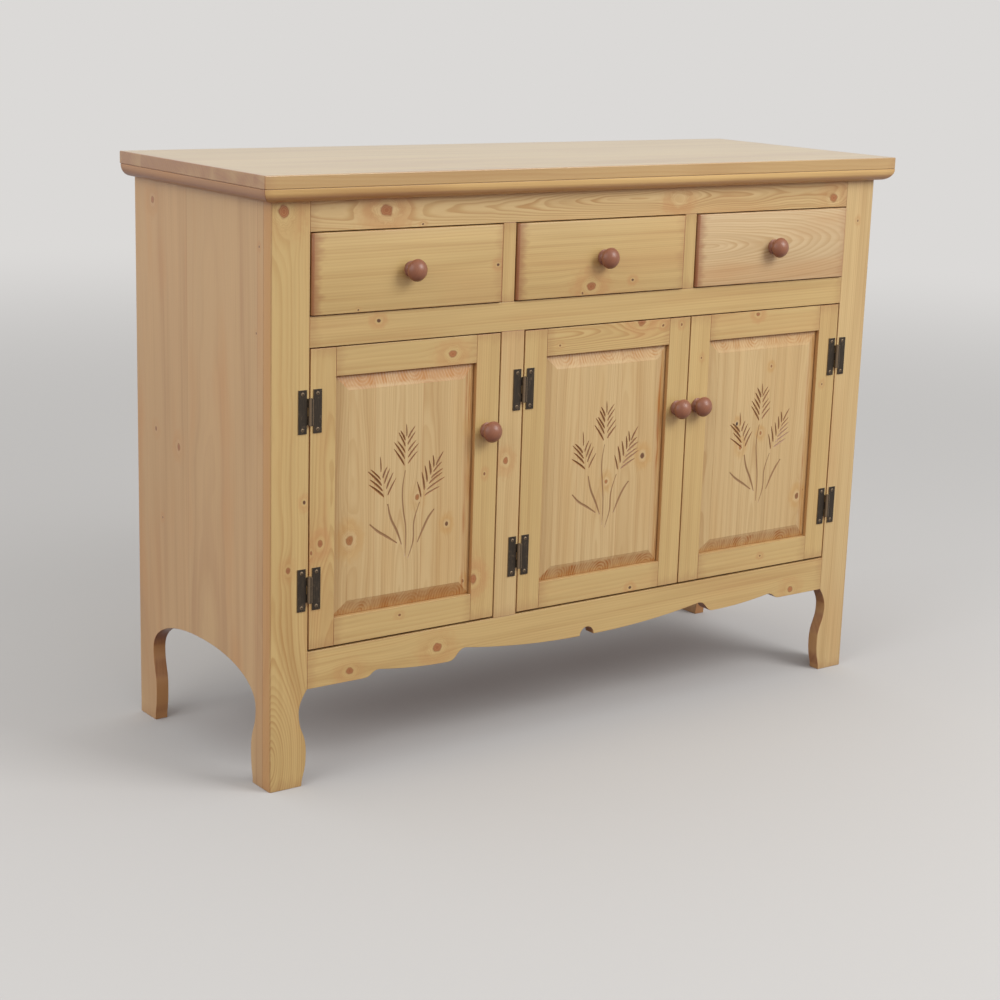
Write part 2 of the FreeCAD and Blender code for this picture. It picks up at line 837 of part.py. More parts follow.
def save_drawer(name, opening_left):
    """Every piece of one drawer."""
    opening_right = opening_left + drawer_opening_width
    left = opening_left + drawer_gap
    right = opening_right - drawer_gap
    box_left = left + drawer_side_inset
    box_right = right - drawer_side_inset
    low = drawer_bottom + running_clearance
    high = drawer_top - drawer_side_headroom
    front_back = drawer_face + drawer_front_thickness
    side_front = front_back - drawer_side_housing
    rear = back_rail_front - running_clearance
    inner_left = box_left + drawer_side_thickness
    inner_right = box_right - drawer_side_thickness
    floor = low + drawer_bottom_lift
    bottom = block(
        inner_left - drawer_bottom_groove,
        inner_right + drawer_bottom_groove,
        front_back - drawer_bottom_groove,
        rear,
        floor,
        floor + drawer_bottom_thickness,
    )
    back_rear = rear - drawer_back_inset
    back = block(
        inner_left - drawer_back_housing,
        inner_right + drawer_back_housing,
        back_rear - drawer_side_thickness,
        back_rear,
        floor + drawer_bottom_thickness,
        high,
    )
    left_side = block(box_left, inner_left, side_front, rear, low, high)
    right_side = block(inner_right, box_right, side_front, rear, low, high)
    centre = V((left + right) / 2, drawer_face, (drawer_bottom + drawer_top) / 2)
    front = drawer_front(left, right, centre).cut([bottom, left_side, right_side])
    save(name + "_front", front)
    save(name + "_sides", Part.makeCompound([left_side.cut([bottom, back]), right_side.cut([bottom, back])]))
    save(name + "_back", back)
    save(name + "_bottom", bottom)
    save(name + "_knob", knob(centre))


# Catches


def catch(x_centre):
    """A magnetic catch on the back of the middle rail, its face against the strike plate."""
    half = catch_width / 2
    low = door_top - catch_drop
    back = frame_back + catch_depth
    body = block(x_centre - half, x_centre + half, frame_back, back, low, low + catch_height)
    rear = edges_where(body, lambda p: near(p.y, back))
    return body.makeChamfer(catch_round, rear)


def save_frame_hardware():
    """Frame leaves, pins, screws and catches: everything that stays on the cabinet."""
    leaves = []
    pins = []
    screws = []
    catches = []
    for _, left_edge, side in doors:
        axis_x = hinge_axis(left_edge, side)
        leaves += hinge_side(axis_x, -side, (0, 2))
        pins += [hinge_pin(axis_x, z) for z in hinge_heights]
        screws += [hinge_screw(x, z) for x, z in screw_places(axis_x, -side)]
        lock_edge = left_edge + door_width if side > 0 else left_edge
        catches.append(catch(lock_edge - side * door_frame_width / 2))
    save("hinge_frame_leaves", Part.makeCompound(leaves))
    save("hinge_pins", Part.makeCompound(pins))
    save("hinge_frame_screws", Part.makeCompound(screws))
    save("magnetic_catches", Part.makeCompound(catches))


def frame_screw_holes():
    """Pilot holes of every hinge screw in the stiles and the mullion."""
    holes = [screw_holes(screw_places(hinge_axis(left, side), -side)) for _, left, side in doors]
    return holes[0].fuse(holes[1:])


def save_frame():
    """The face frame."""
    holes = frame_screw_holes()
    stile = face_stile()
    save("face_stile_left", stile.cut(holes))
    save("face_stile_right", mirrored(stile).cut(holes))
    tenons = all_upright_tenons()
    top_level, middle_level, _ = frame_rail_levels()
    save("top_rail", rail(-half_opening, half_opening, *top_level).cut(tenons))
    save("middle_rail", rail(-half_opening, half_opening, *middle_level).cut(tenons))
    save("apron", apron())
    save("mullion", upright(mullion_left, mullion_right, door_bottom, door_top).cut(holes))
    dividers = [upright(left, right, drawer_bottom, drawer_top) for left, right in divider_spans()]
    save("drawer_dividers", Part.makeCompound(dividers))


def save_carcase():
    """The box behind the frame, its top, shelves and drawer runners."""
    side = side_panel()
    save("top_board", top_board())
    save("top_moulding", top_moulding())
    save("side_panel_left", side)
    save("side_panel_right", mirrored(side))
    save("bottom_board", bottom_board())
    save("partition", partition())
    save("back_panel", back_panel())
    save("back_rails", back_rails())
    save("shelf_left", shelf(-half_inside, partition_left))
    save("shelf_right", shelf(partition_right, half_inside))
    save("shelf_pins", shelf_pins())
    plans = runner_plans()
    save("drawer_runners", Part.makeCompound([runner_section(*plan) for plan in plans]))
    save("drawer_kickers", Part.makeCompound([kicker(*plan[2:]) for plan in plans]))


os.makedirs("parts", exist_ok=True)
save_frame()
save_carcase()
save_frame_hardware()
for door in doors:
    save_door(*door)
for drawer in drawers:
    save_drawer(*drawer)
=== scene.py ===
import math
import random

import bmesh
import bpy
from bpy.props import FloatProperty, FloatVectorProperty, PointerProperty
from mathutils import Matrix, Vector
from mathutils.geometry import interpolate_bezier


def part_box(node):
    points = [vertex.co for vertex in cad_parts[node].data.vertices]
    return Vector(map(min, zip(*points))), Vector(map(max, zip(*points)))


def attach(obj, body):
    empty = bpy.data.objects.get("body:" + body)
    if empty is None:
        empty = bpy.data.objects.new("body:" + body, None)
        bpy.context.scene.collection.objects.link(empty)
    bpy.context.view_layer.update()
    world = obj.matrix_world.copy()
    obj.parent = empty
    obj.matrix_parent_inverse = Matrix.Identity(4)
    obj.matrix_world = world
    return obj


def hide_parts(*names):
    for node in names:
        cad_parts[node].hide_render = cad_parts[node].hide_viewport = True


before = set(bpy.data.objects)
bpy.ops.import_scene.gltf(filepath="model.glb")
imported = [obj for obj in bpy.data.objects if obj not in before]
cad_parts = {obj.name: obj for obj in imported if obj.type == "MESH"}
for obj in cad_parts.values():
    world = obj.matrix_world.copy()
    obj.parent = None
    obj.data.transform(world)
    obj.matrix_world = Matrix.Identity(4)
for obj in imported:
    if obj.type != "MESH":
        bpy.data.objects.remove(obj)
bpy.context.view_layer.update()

bl_info = {
    "name": "Pine Sideboard",
    "version": (1, 0, 0),
    "blender": (4, 5, 0),
    "location": "View3D > Sidebar > Sideboard",
    "description": "Builds a country pine sideboard with carved doors, turned knobs and surface hinges",
    "category": "Add Mesh",
}

ACROSS, DEEP, UP = 0, 1, 2
DOORS = ("left_door", "middle_door", "right_door")
DRAWERS = ("left_drawer", "middle_drawer", "right_drawer")


def mm(*lengths):
    """Millimetres as metres: one number, or a tuple of them."""
    metres = tuple(length / 1000 for length in lengths)
    return metres[0] if len(metres) == 1 else metres


def paint(*levels):
    """A colour written in the usual 0 to 255 levels, as the linear numbers that a shader wants."""
    shares = (level / 255 for level in levels)
    return tuple(s / 12.92 if s <= 0.04045 else ((s + 0.055) / 1.055) ** 2.4 for s in shares) + (1.0,)


def length_of(name, description, millimetres):
    """A length that a user may change."""
    return FloatProperty(
        name=name, description=description, default=mm(millimetres),
        unit="LENGTH", subtype="DISTANCE", precision=4,
    )


def colour_of(name, description, *levels):
    """A colour that a user may change."""
    return FloatVectorProperty(
        name=name, description=description, default=paint(*levels),
        subtype="COLOR", size=4, min=0.0, max=1.0,
    )


def amount_of(name, description, amount, unit="NONE"):
    """A strength or power that a user may change."""
    return FloatProperty(name=name, description=description, default=amount, min=0.0, unit=unit)


# Sizes and colours


class SideboardSizes(bpy.types.PropertyGroup):
    """Where the rails, doors and drawers lie, and how their edges are eased."""

    face: length_of("Face", "Front of the face frame", -184.0)
    frame_back: length_of("Frame back", "Back of the face frame", -164.0)
    half_body: length_of("Half body", "Middle to the outer side", 551.0)
    half_opening: length_of("Half opening", "Middle to the inner edge of a face stile", 492.0)
    half_inside: length_of("Half inside", "Middle to the inner face of a side", 531.0)
    carcase_back: length_of("Carcase back", "Rear edge of the sides", 212.0)
    top_underside: length_of("Top underside", "Height of the body", 832.0)
    drawer_top: length_of("Drawer top", "Underside of the upper rail", 773.0)
    drawer_bottom: length_of("Drawer bottom", "Top of the middle rail", 661.0)
    door_top: length_of("Door top", "Underside of the middle rail", 619.0)
    door_bottom: length_of("Door bottom", "Top of the apron", 195.0)
    back_rail: length_of("Back rail", "Front of the rails across the back", 186.0)
    divider_offset: length_of("Divider offset", "Middle of the front to the middle of a divider", 167.67)
    divider_width: length_of("Divider width", "Width of a drawer divider", 22.0)
    arris: length_of("Arris", "How far a sharp edge is eased", 0.7)
    top_arris: length_of("Top arris", "How far the edges of the top are rounded", 1.5)
    corner_round: length_of("Corner round", "Rounding of the front corners of the body", 3.0)


class FeetSizes(bpy.types.PropertyGroup):
    """The shaped feet, the arches between them and the waves of the apron."""

    stile_neck: length_of("Stile neck", "Width of a front foot at its neck", 46.0)
    stile_belly: length_of("Stile belly", "Width of a front foot at its belly", 58.0)
    stile_floor: length_of("Stile floor", "Width of a front foot on the floor", 51.0)
    neck_height: length_of("Neck height", "Height of the neck of a front foot", 109.0)
    belly_height: length_of("Belly height", "Height of the belly of every foot", 50.0)
    shoulder_width: length_of("Shoulder width", "How far the shoulder draws in at once", 4.5)
    shoulder_drop: length_of("Shoulder drop", "How far the shoulder falls while it draws in", 6.5)
    shoulder_run: length_of("Shoulder run", "Height above the neck at which the foot is straight", 13.0)
    apron_bottom: length_of("Apron bottom", "Lower edge of the apron", 141.0)
    side_neck: length_of("Side neck", "Width of a side's front foot at its neck", 40.0)
    side_belly: length_of("Side belly", "Width of a side's front foot at its belly", 53.0)
    side_floor: length_of("Side floor", "Width of every side foot on the floor", 48.0)
    rear_neck: length_of("Rear neck", "Width of a side's rear foot at its neck", 43.5)
    rear_belly: length_of("Rear belly", "Width of a side's rear foot at its belly", 52.5)
    arch_spring: length_of("Arch spring", "Height at which the side arch starts", 111.5)
    arch_rise: length_of("Arch rise", "Rise of the side arch", 58.5)
    arch_fullness: FloatProperty(
        name="Arch fullness", description="2 is a plain oval, and more is squarer", default=2.2, min=2.0,
    )
    notch: length_of("Notch", "Radius of the notch in the middle of the apron", 13.0)
    long_wave: length_of("Long wave", "Middle of the apron to the end of its long wave", 225.0)
    long_rise: length_of("Long rise", "Rise at the end of the long wave", 17.0)
    long_step: length_of("Long step", "Middle of the apron to the foot of the long step", 255.0)
    short_wave: length_of("Short wave", "Middle of the apron to the end of its short wave", 374.0)
    short_rise: length_of("Short rise", "Rise at the end of the short wave", 9.5)
    short_step: length_of("Short step", "Middle of the apron to the foot of the short step", 399.0)


class MouldingSizes(bpy.types.PropertyGroup):
    """The quarter-round moulding under the top."""

    reach: length_of("Reach", "How far it stands out from the body", 22.0)
    height: length_of("Height", "Its height", 18.0)
    radius: length_of("Radius", "Radius of its quarter round", 17.0)
    quirk: length_of("Quirk", "Small flat above the quarter round", 1.0)
    arris: length_of("Arris", "How far its edges are eased", 0.5)


class DoorSizes(bpy.types.PropertyGroup):
    """Door frames, fielded panels and their carving."""

    frame_width: length_of("Frame width", "Width of a door's stiles and rails", 40.0)
    groove_depth: length_of("Groove depth", "Depth of the groove for the panel", 8.0)
    groove_setback: length_of("Groove setback", "Front of the door to its groove", 7.0)
    groove_width: length_of("Groove width", "Width of the groove", 6.0)
    tongue: length_of("Tongue", "How far the panel reaches into the groove", 7.0)
    bevel_width: length_of("Bevel width", "Width of the bevels round the field", 21.0)
    bevel_rise: length_of("Bevel rise", "Rise of the bevels", 5.6)
    field_step: length_of("Field step", "Small step up to the field", 0.2)
    step_width: length_of("Step width", "Width of that step", 0.25)
    stroke_width: length_of("Stroke width", "Width of a carved grain", 3.5)
    stroke_depth: amount_of("Stroke depth", "Depth of a carved grain as a share of its width", 0.47)
    beard_width: length_of("Beard width", "Width of a carved beard", 2.52)
    beard_depth: amount_of("Beard depth", "Depth of a carved beard as a share of its width", 0.45)
    stem_width: length_of("Stem width", "Width of a carved stem", 2.8)
    leaf_width: length_of("Leaf width", "Width of a carved leaf", 4.2)


class KnobSizes(bpy.types.PropertyGroup):
    """The turned knobs and where they sit."""

    reach: length_of("Reach", "How far a knob stands out", 27.0)
    base_radius: length_of("Base radius", "Radius of the foot of the knob", 11.5)
    base_height: length_of("Base height", "Height of the foot of the knob", 2.0)
    neck_radius: length_of("Neck radius", "Radius of the neck", 8.0)
    neck_height: length_of("Neck height", "Height of the neck", 8.0)
    head_radius: length_of("Head radius", "Radius of the head", 15.5)
    rim_radius: length_of("Rim radius", "Rounding of the rim of the head", 3.5)
    foot_arris: length_of("Foot arris", "How far the edge of the foot is eased", 0.4)
    door_inset: length_of("Door inset", "Edge of a door to its knob", 20.0)
    door_height: length_of("Door height", "Height of the door knobs", 479.0)


class HingeSizes(bpy.types.PropertyGroup):
    """The surface hinges."""

    upper: length_of("Upper", "Height of the upper hinges", 533.0)
    lower: length_of("Lower", "Height of the lower hinges", 285.0)
    thickness: length_of("Thickness", "Thickness of a leaf", 1.3)
    strap_height: length_of("Strap height", "Height of a strap", 60.0)
    strap_width: length_of("Strap width", "Width of a strap", 13.0)
    strap_edge: length_of("Strap edge", "Pin to the near edge of a strap", 5.2)
    bridge_edge: length_of("Bridge edge", "Pin to the near edge of the bridge", 4.1)
    knuckle: length_of("Knuckle", "Length of a knuckle", 12.0)
    knuckle_radius: length_of("Knuckle radius", "Outer radius of the barrel", 3.55)
    pin_radius: length_of("Pin radius", "Radius of the pin", 2.2)
    pin_head: length_of("Pin head", "Radius of the heads of the pin", 3.0)
    head_height: length_of("Head height", "Height of the heads of the pin", 0.8)
    play: length_of("Play", "Room between the pin and the knuckles, and between knuckles", 0.05)
    arris: length_of("Arris", "How far edges are eased", 0.2)
    screw_inset: length_of("Screw inset", "End of a strap to its screw", 5.5)
    screw_radius: length_of("Screw radius", "Radius of a screw head", 2.7)
    screw_height: length_of("Screw height", "Height of a screw head", 1.3)
    cross_reach: length_of("Cross reach", "Middle of a screw to the ends of its crossed recess", 1.5)
    cross_width: length_of("Cross width", "Half the width of the crossed recess", 0.28)
    cross_depth: length_of("Cross depth", "Depth of the crossed recess", 0.5)


class FinishColours(bpy.types.PropertyGroup):
    """Colours of the lacquered pine, the knobs and the hardware."""

    early: colour_of("Early wood", "Pale wood of the growth rings", 198, 171, 115)
    late: colour_of("Late wood", "Dark lines of the growth rings", 168, 124, 68)
    warm: colour_of("Warm wood", "Rosy patches of the pine", 188, 139, 88)
    # Side wood and its rings: partly the pine's own tone, partly painted shade, darker than the front wood
    # and standing in for the weaker light on the sides
    side: colour_of("Side wood", "Pale wood of the side boards", 191, 158, 112)
    side_late: colour_of("Side late wood", "Growth rings of the side boards", 166, 118, 76)
    knot: colour_of("Knot", "Heart of a knot", 160, 92, 46)
    pitch: colour_of("Pitch", "Dark knots and the rims of knots", 62, 34, 18)
    stain: colour_of("Stain", "End grain and eased edges under the lacquer", 142, 86, 52)
    bare: colour_of("Bare wood", "Unfinished pine inside", 216, 190, 146)
    bare_late: colour_of("Bare late wood", "Growth lines of the unfinished pine", 190, 150, 98)
    knob: colour_of("Knob", "Turned knobs", 158, 106, 78)
    knob_late: colour_of("Knob grain", "Dark grain of the knobs", 128, 78, 56)
    bronze: colour_of("Bronze", "Hinges", 52, 44, 35)
    # Worn bronze: rubbed places, and painted highlight on the barrels, screw heads and edges
    bronze_wear_and_highlight: colour_of("Worn bronze", "Rubbed places on the hinges", 132, 112, 88)
    panel: colour_of("Panel wood", "Pale wood of the door panels", 203, 178, 130)
    panel_warm: colour_of("Warm panel wood", "Darker pine of the door panels", 190, 147, 84)
    # Front moulding: pine made paler as painted light, against the shade under the curve of the moulding
    front_moulding: colour_of("Front moulding", "Pale pine of the moulding along the front", 218, 184, 122)
    # Paler boards and palest boards: partly their own paler wood, partly painted sheen of the cooler light
    # on the upper and right parts of the front
    rail: colour_of("Paler boards", "Early wood of the upper rail, mullion and right stile", 202, 176, 125)
    pale: colour_of("Pale board", "The palest boards of the front", 204, 180, 138)
    # Side moulding: brown stain together with painted shade of the overhang along the sides
    moulding: colour_of("Side moulding", "Brown stain on the mouldings along the sides", 170, 130, 98)
    # Bevels: stain, and also painted shade where a bevel faces down
    bevel: colour_of("Bevels", "Stain on the bevels round the panels", 160, 98, 30)
    bevel_top: colour_of("Top bevel", "Thinner stain on the bevel along the top of a panel", 174, 114, 30)
    carving: colour_of("Carving", "Stain in the carved lines", 134, 92, 56)
    steel: colour_of("Steel", "Shelf pins and strike plates", 190, 190, 192)
    catch: colour_of("Catch", "Plastic of the catches", 96, 70, 50)


class StageSettings(bpy.types.PropertyGroup):
    """The floor, the light and the camera."""

    floor: colour_of("Floor", "Plain floor", 186, 184, 182)
    floor_glow: colour_of("Floor glow", "Warm light that the floor throws back", 102, 54, 26)
    distance: colour_of("Distance", "Plain background", 219, 217, 215)
    sky: amount_of("Sky", "Strength of the even light", 0.9)
    key: amount_of("Key", "Power of the main lamp", 77.0, "POWER")
    fill: amount_of("Fill", "Power of the side lamp", 34.0, "POWER")
    aim: length_of("Aim", "Height that the lamps shine on", 450.0)
    lens: FloatProperty(name="Lens", description="Focal length in millimetres", default=73.7885, min=1.0)
    camera_place: FloatVectorProperty(
        name="Camera place", description="Where the camera stands", subtype="TRANSLATION", unit="LENGTH",
        default=(-1.87230, -2.50846, 1.07947),
    )
    camera_turn: FloatVectorProperty(
        name="Camera turn", description="How the camera is turned", subtype="EULER",
        default=[math.radians(turn) for turn in (76.21184548, -1.68781112, -35.78479531)],
    )


# At the bench


def pick(piece):
    """Leave one piece selected and active."""
    bpy.ops.object.select_all(action="DESELECT")
    piece.select_set(True)
    bpy.context.view_layer.objects.active = piece


def name_piece(name):
    """Name the piece that was just added, with its place put in its mesh."""
    bpy.ops.object.transform_apply(location=True, rotation=True, scale=True)
    piece = bpy.context.object
    piece.name = name
    piece.data.name = name
    return piece


def add_board(name, low, high):
    """A sawn board between two corners."""
    low, high = Vector(low), Vector(high)
    bpy.ops.object.select_all(action="DESELECT")
    bpy.ops.mesh.primitive_cube_add(size=1.0, location=(low + high) / 2, scale=high - low)
    return name_piece(name)


def work_on(piece, kind):
    """Take a piece into edit mode with nothing selected."""
    pick(piece)
    bpy.ops.object.mode_set(mode="EDIT")
    bpy.ops.mesh.select_mode(type=kind)
    bpy.ops.mesh.select_all(action="DESELECT")


def put_down():
    """Leave edit mode."""
    bpy.ops.object.mode_set(mode="OBJECT")


def close_up(merge=0.0):
    """Join points that lie together, turn every face outwards, and leave edit mode."""
    bpy.ops.mesh.select_all(action="SELECT")
    if merge:
        bpy.ops.mesh.remove_doubles(threshold=merge)
    bpy.ops.mesh.normals_make_consistent(inside=False)
    put_down()


def choose_faces(piece, wanted):
    """Select the faces whose middle and normal are wanted."""
    mesh = bmesh.from_edit_mesh(piece.data)
    for face in mesh.faces:
        face.select_set(bool(wanted(face.calc_center_median(), face.normal)))
    bmesh.update_edit_mesh(piece.data)


def choose_edges(piece, wanted):
    """Select the edges both of whose ends are wanted."""
    mesh = bmesh.from_edit_mesh(piece.data)
    for edge in mesh.edges:
        edge.select_set(all(wanted(corner.co) for corner in edge.verts))
    bmesh.update_edit_mesh(piece.data)


def choose_corners(piece, wanted):
    """Select the corner points that are wanted."""
    mesh = bmesh.from_edit_mesh(piece.data)
    for corner in mesh.verts:
        corner.select_set(bool(wanted(corner.co)))
    mesh.select_flush_mode()
    bmesh.update_edit_mesh(piece.data)


def near(a, b):
    """Whether two lengths are the same to a hundredth of a millimetre."""
    return abs(a - b) < mm(0.01)


def trace_line(name, points):
    """Draw a line from point to point, and stay in edit mode."""
    bpy.ops.object.select_all(action="DESELECT")
    bpy.ops.mesh.primitive_plane_add(size=mm(1.0), location=points[0])
    piece = name_piece(name)
    bpy.ops.object.mode_set(mode="EDIT")
    bpy.ops.mesh.select_mode(type="VERT")
    bpy.ops.mesh.select_all(action="SELECT")
    bpy.ops.mesh.merge(type="CENTER")
    for start, end in zip(points, points[1:]):
        bpy.ops.mesh.extrude_vertices_move(TRANSFORM_OT_translate={"value": Vector(end) - Vector(start)})
    return piece


def trace_outline(name, points, depth):
    """Draw a closed outline, fill it and give it a thickness."""
    piece = trace_line(name, points)
    first, last = Vector(points[0]), Vector(points[-1])
    choose_corners(piece, lambda co: (co - first).length < mm(0.01) or (co - last).length < mm(0.01))
    bpy.ops.mesh.edge_face_add()
    bpy.ops.mesh.select_all(action="SELECT")
    bpy.ops.mesh.edge_face_add()
    bpy.ops.mesh.extrude_region_move(TRANSFORM_OT_translate={"value": depth})
    close_up()
    return piece


def lathe(name, line, steps):
    """Turn a line of radius and reach round the axis that points out of the front."""
    piece = trace_line(name, [(radius, -reach, 0.0) for radius, reach in line])
    bpy.ops.mesh.select_all(action="SELECT")
    bpy.ops.mesh.spin(steps=steps, angle=2 * math.pi, center=(0.0, 0.0, 0.0), axis=(0.0, 1.0, 0.0))
    close_up(mm(0.01))
    return piece


def sweep(poles, steps):
    """Points along a smooth curve with three or four poles, its start left out."""
    start, end = poles[0], poles[-1]
    if len(poles) == 3:
        handles = start.lerp(poles[1], 2 / 3), end.lerp(poles[1], 2 / 3)
    else:
        handles = poles[1:3]
    return interpolate_bezier(start, *handles, end, steps + 1)[1:]


def arc(centre, radius, start, end, steps):
    """Points along an arc in a flat drawing, its start left out."""
    turns = [start + (end - start) * step / steps for step in range(1, steps + 1)]
    across, up = centre
    return [(across + radius * math.cos(turn), up + radius * math.sin(turn)) for turn in turns]


def swelling(neck, belly, floor, neck_height, belly_height):
    """The two curves down a foot: from its neck out to its belly, then in to the floor."""
    middle = (neck_height + belly_height) / 2
    low = belly_height / 3
    upper = ((neck, neck_height), (neck, middle), (belly, middle), (belly, belly_height))
    lower = ((belly, belly_height), (belly, low), (floor, low), (floor, 0.0))
    return upper, lower


def round_edges(piece, width, segments, wanted):
    """Round the chosen edges of a piece."""
    work_on(piece, "EDGE")
    choose_edges(piece, wanted)
    bpy.ops.mesh.bevel(offset=width, segments=segments)
    put_down()


def ease(piece, width, segments=2):
    """Take the sharp arrises off a piece."""
    pick(piece)
    bpy.ops.object.shade_smooth_by_angle(angle=math.radians(35))
    bpy.ops.object.modifier_add(type="BEVEL")
    arris = piece.modifiers[-1]
    arris.width = width
    arris.segments = segments
    arris.limit_method = "ANGLE"
    arris.angle_limit = math.radians(30)
    arris.harden_normals = True
    bpy.ops.object.modifier_apply(modifier=arris.name)
    work_on(piece, "VERT")
    bpy.ops.mesh.select_all(action="SELECT")
    bpy.ops.mesh.dissolve_degenerate(threshold=mm(0.002))
    put_down()


def carve(piece, cutter):
    """Cut one shape out of a piece, and throw the cutter away."""
    pick(piece)
    bpy.ops.object.modifier_add(type="BOOLEAN")
    cut = piece.modifiers[-1]
    cut.operation = "DIFFERENCE"
    cut.solver = "EXACT"
    cut.use_self = True
    cut.object = cutter
    bpy.ops.object.modifier_apply(modifier=cut.name)
    bpy.data.objects.remove(cutter)


def cut_box(piece, low, high):
    """Cut a square recess into a piece."""
    carve(piece, add_board("recess", low, high))


def saw(piece, point, normal, keep_all=False):
    """Saw a piece along a plane, and drop what lies beyond it unless all is kept."""
    drop = not keep_all
    work_on(piece, "FACE")
    bpy.ops.mesh.select_all(action="SELECT")
    bpy.ops.mesh.bisect(plane_co=point, plane_no=normal, clear_outer=drop, use_fill=drop)
    put_down()


def join(parts):
    """Put the places of the parts in their meshes, and join them into the first."""
    bpy.ops.object.select_all(action="DESELECT")
    for part in parts:
        part.select_set(True)
    bpy.context.view_layer.objects.active = parts[0]
    bpy.ops.object.transform_apply(location=True, rotation=True, scale=True)
    bpy.ops.object.join()
    return bpy.context.object


def copy_of(piece, name, move=(0.0, 0.0, 0.0), mirror=None, turn=None):
    """A copy with its own mesh, moved, turned over or mirrored across one axis."""
    pick(piece)
    bpy.ops.object.duplicate()
    other = bpy.context.object
    if mirror is not None:
        other.scale[mirror] = -1.0
    if turn is not None:
        other.rotation_euler[turn] = math.pi
    other.location = move
    name_piece(name)
    if mirror is not None:
        work_on(other, "FACE")
        close_up()
    return other


def corners_of(piece):
    """The lowest and highest corners of a piece."""
    corners = [Vector(corner) for corner in piece.bound_box]
    return corners[0], corners[6]


def dress(piece, material):
    """Give a piece one finish all over."""
    piece.data.materials.clear()
    piece.data.materials.append(material)


def finish(piece, body, node, material):
    """Give a piece its finish, and put it in the place of its solid."""
    dress(piece, material)
    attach(piece, body)
    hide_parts(node)


# Finishes


class Wiring:
    """Lays nodes in one tree and joins them up."""

    def __init__(self, tree):
        self.tree = tree
        self.count = 0

    def add(self, kind, **settings):
        """A new node with its settings, laid beside the last."""
        node = self.tree.nodes.new(kind)
        node.location = (200.0 * (self.count // 6), -240.0 * (self.count % 6))
        self.count += 1
        for key, value in settings.items():
            setattr(node, key, value)
        return node

    def feed(self, socket, value):
        """Join a socket to another, or set the number, vector or colour on it."""
        if isinstance(value, bpy.types.NodeSocket):
            self.tree.links.new(value, socket)
        else:
            socket.default_value = value

    def result(self, kind, values, out=0, **settings):
        """A node fed in the order of its inputs, read at one output."""
        node = self.add(kind, **settings)
        for socket, value in zip(node.inputs, values):
            self.feed(socket, value)
        return node.outputs[out]

    def math(self, operation, *values):
        """One step of arithmetic."""
        return self.result("ShaderNodeMath", values, operation=operation)

    def plus(self, first, second):
        """The sum."""
        return self.math("ADD", first, second)

    def minus(self, first, second):
        """The first less the second."""
        return self.math("SUBTRACT", first, second)

    def times(self, *factors):
        """The product of all factors."""
        product = factors[0]
        for factor in factors[1:]:
            product = self.math("MULTIPLY", product, factor)
        return product

    def times_plus(self, first, second, more):
        """The product of two numbers, and a third added."""
        return self.math("MULTIPLY_ADD", first, second, more)

    def over(self, first, second):
        """The first divided by the second."""
        return self.math("DIVIDE", first, second)

    def larger(self, *values):
        """The largest."""
        largest = values[0]
        for value in values[1:]:
            largest = self.math("MAXIMUM", largest, value)
        return largest

    def vector(self, operation, *values):
        """One step of arithmetic on vectors or colours."""
        out = 1 if operation == "LENGTH" else 0
        return self.result("ShaderNodeVectorMath", values, out, operation=operation)

    def shaded(self, colour, shade):
        """A colour made darker or lighter."""
        return self.vector("MULTIPLY", colour, self.together(shade, shade, shade))

    def apart(self, vector):
        """The three parts of a vector."""
        node = self.add("ShaderNodeSeparateXYZ")
        self.feed(node.inputs[0], vector)
        return node.outputs

    def together(self, *values):
        """A vector from its parts."""
        return self.result("ShaderNodeCombineXYZ", values)

    def length(self, *values):
        """The length of a vector from its parts."""
        return self.vector("LENGTH", self.together(*values))

    def place(self, kind="Object"):
        """Where a point lies on its piece, or with Normal which way it faces."""
        return self.add("ShaderNodeTexCoord").outputs[kind]

    def ramp(self, value, low, high, start=0.0, end=1.0):
        """A smooth step between two values."""
        values = (value, low, high, start, end)
        return self.result("ShaderNodeMapRange", values, interpolation_type="SMOOTHSTEP")

    def lines(self, value, rise, high, fall=0.9):
        """A line across each whole number: it rises slowly, and ends at once."""
        part = self.math("FRACT", value)
        return self.times(self.ramp(part, rise, high), self.ramp(part, fall, 1.0, 1.0, 0.0))

    def noise(self, place, stretch, detail=2.0, roughness=0.5):
        """Noise whose grain has its own size along each axis."""
        node = self.add("ShaderNodeTexNoise")
        self.feed(node.inputs["Vector"], self.vector("MULTIPLY", place, stretch))
        self.feed(node.inputs["Scale"], 1.0)
        self.feed(node.inputs["Detail"], detail)
        self.feed(node.inputs["Roughness"], roughness)
        return node.outputs[0]

    def chance(self, value):
        """A steady random vector for a whole number."""
        node = self.add("ShaderNodeTexWhiteNoise", noise_dimensions="1D")
        self.feed(node.inputs["W"], value)
        return node.outputs["Color"]

    def mix(self, share, first, second):
        """A share of the second colour over the first."""
        node = self.add("ShaderNodeMix", data_type="RGBA")
        factor, first_colour, second_colour = node.inputs[0], node.inputs[6], node.inputs[7]
        for socket, value in ((factor, share), (first_colour, first), (second_colour, second)):
            self.feed(socket, value)
        return node.outputs[2]


def open_group(name, inputs, outputs):
    """A node group with its sockets: its wiring, its inputs by name, and its output node."""
    group = bpy.data.node_groups.new(name, "ShaderNodeTree")
    kinds = {"F": "NodeSocketFloat", "V": "NodeSocketVector", "C": "NodeSocketColor"}
    for direction, sockets in (("INPUT", inputs), ("OUTPUT", outputs)):
        for label, kind in sockets:
            group.interface.new_socket(name=label, in_out=direction, socket_type=kinds[kind])
    wiring = Wiring(group)
    source = wiring.add("NodeGroupInput")
    return group, wiring, source.outputs, wiring.add("NodeGroupOutput").inputs


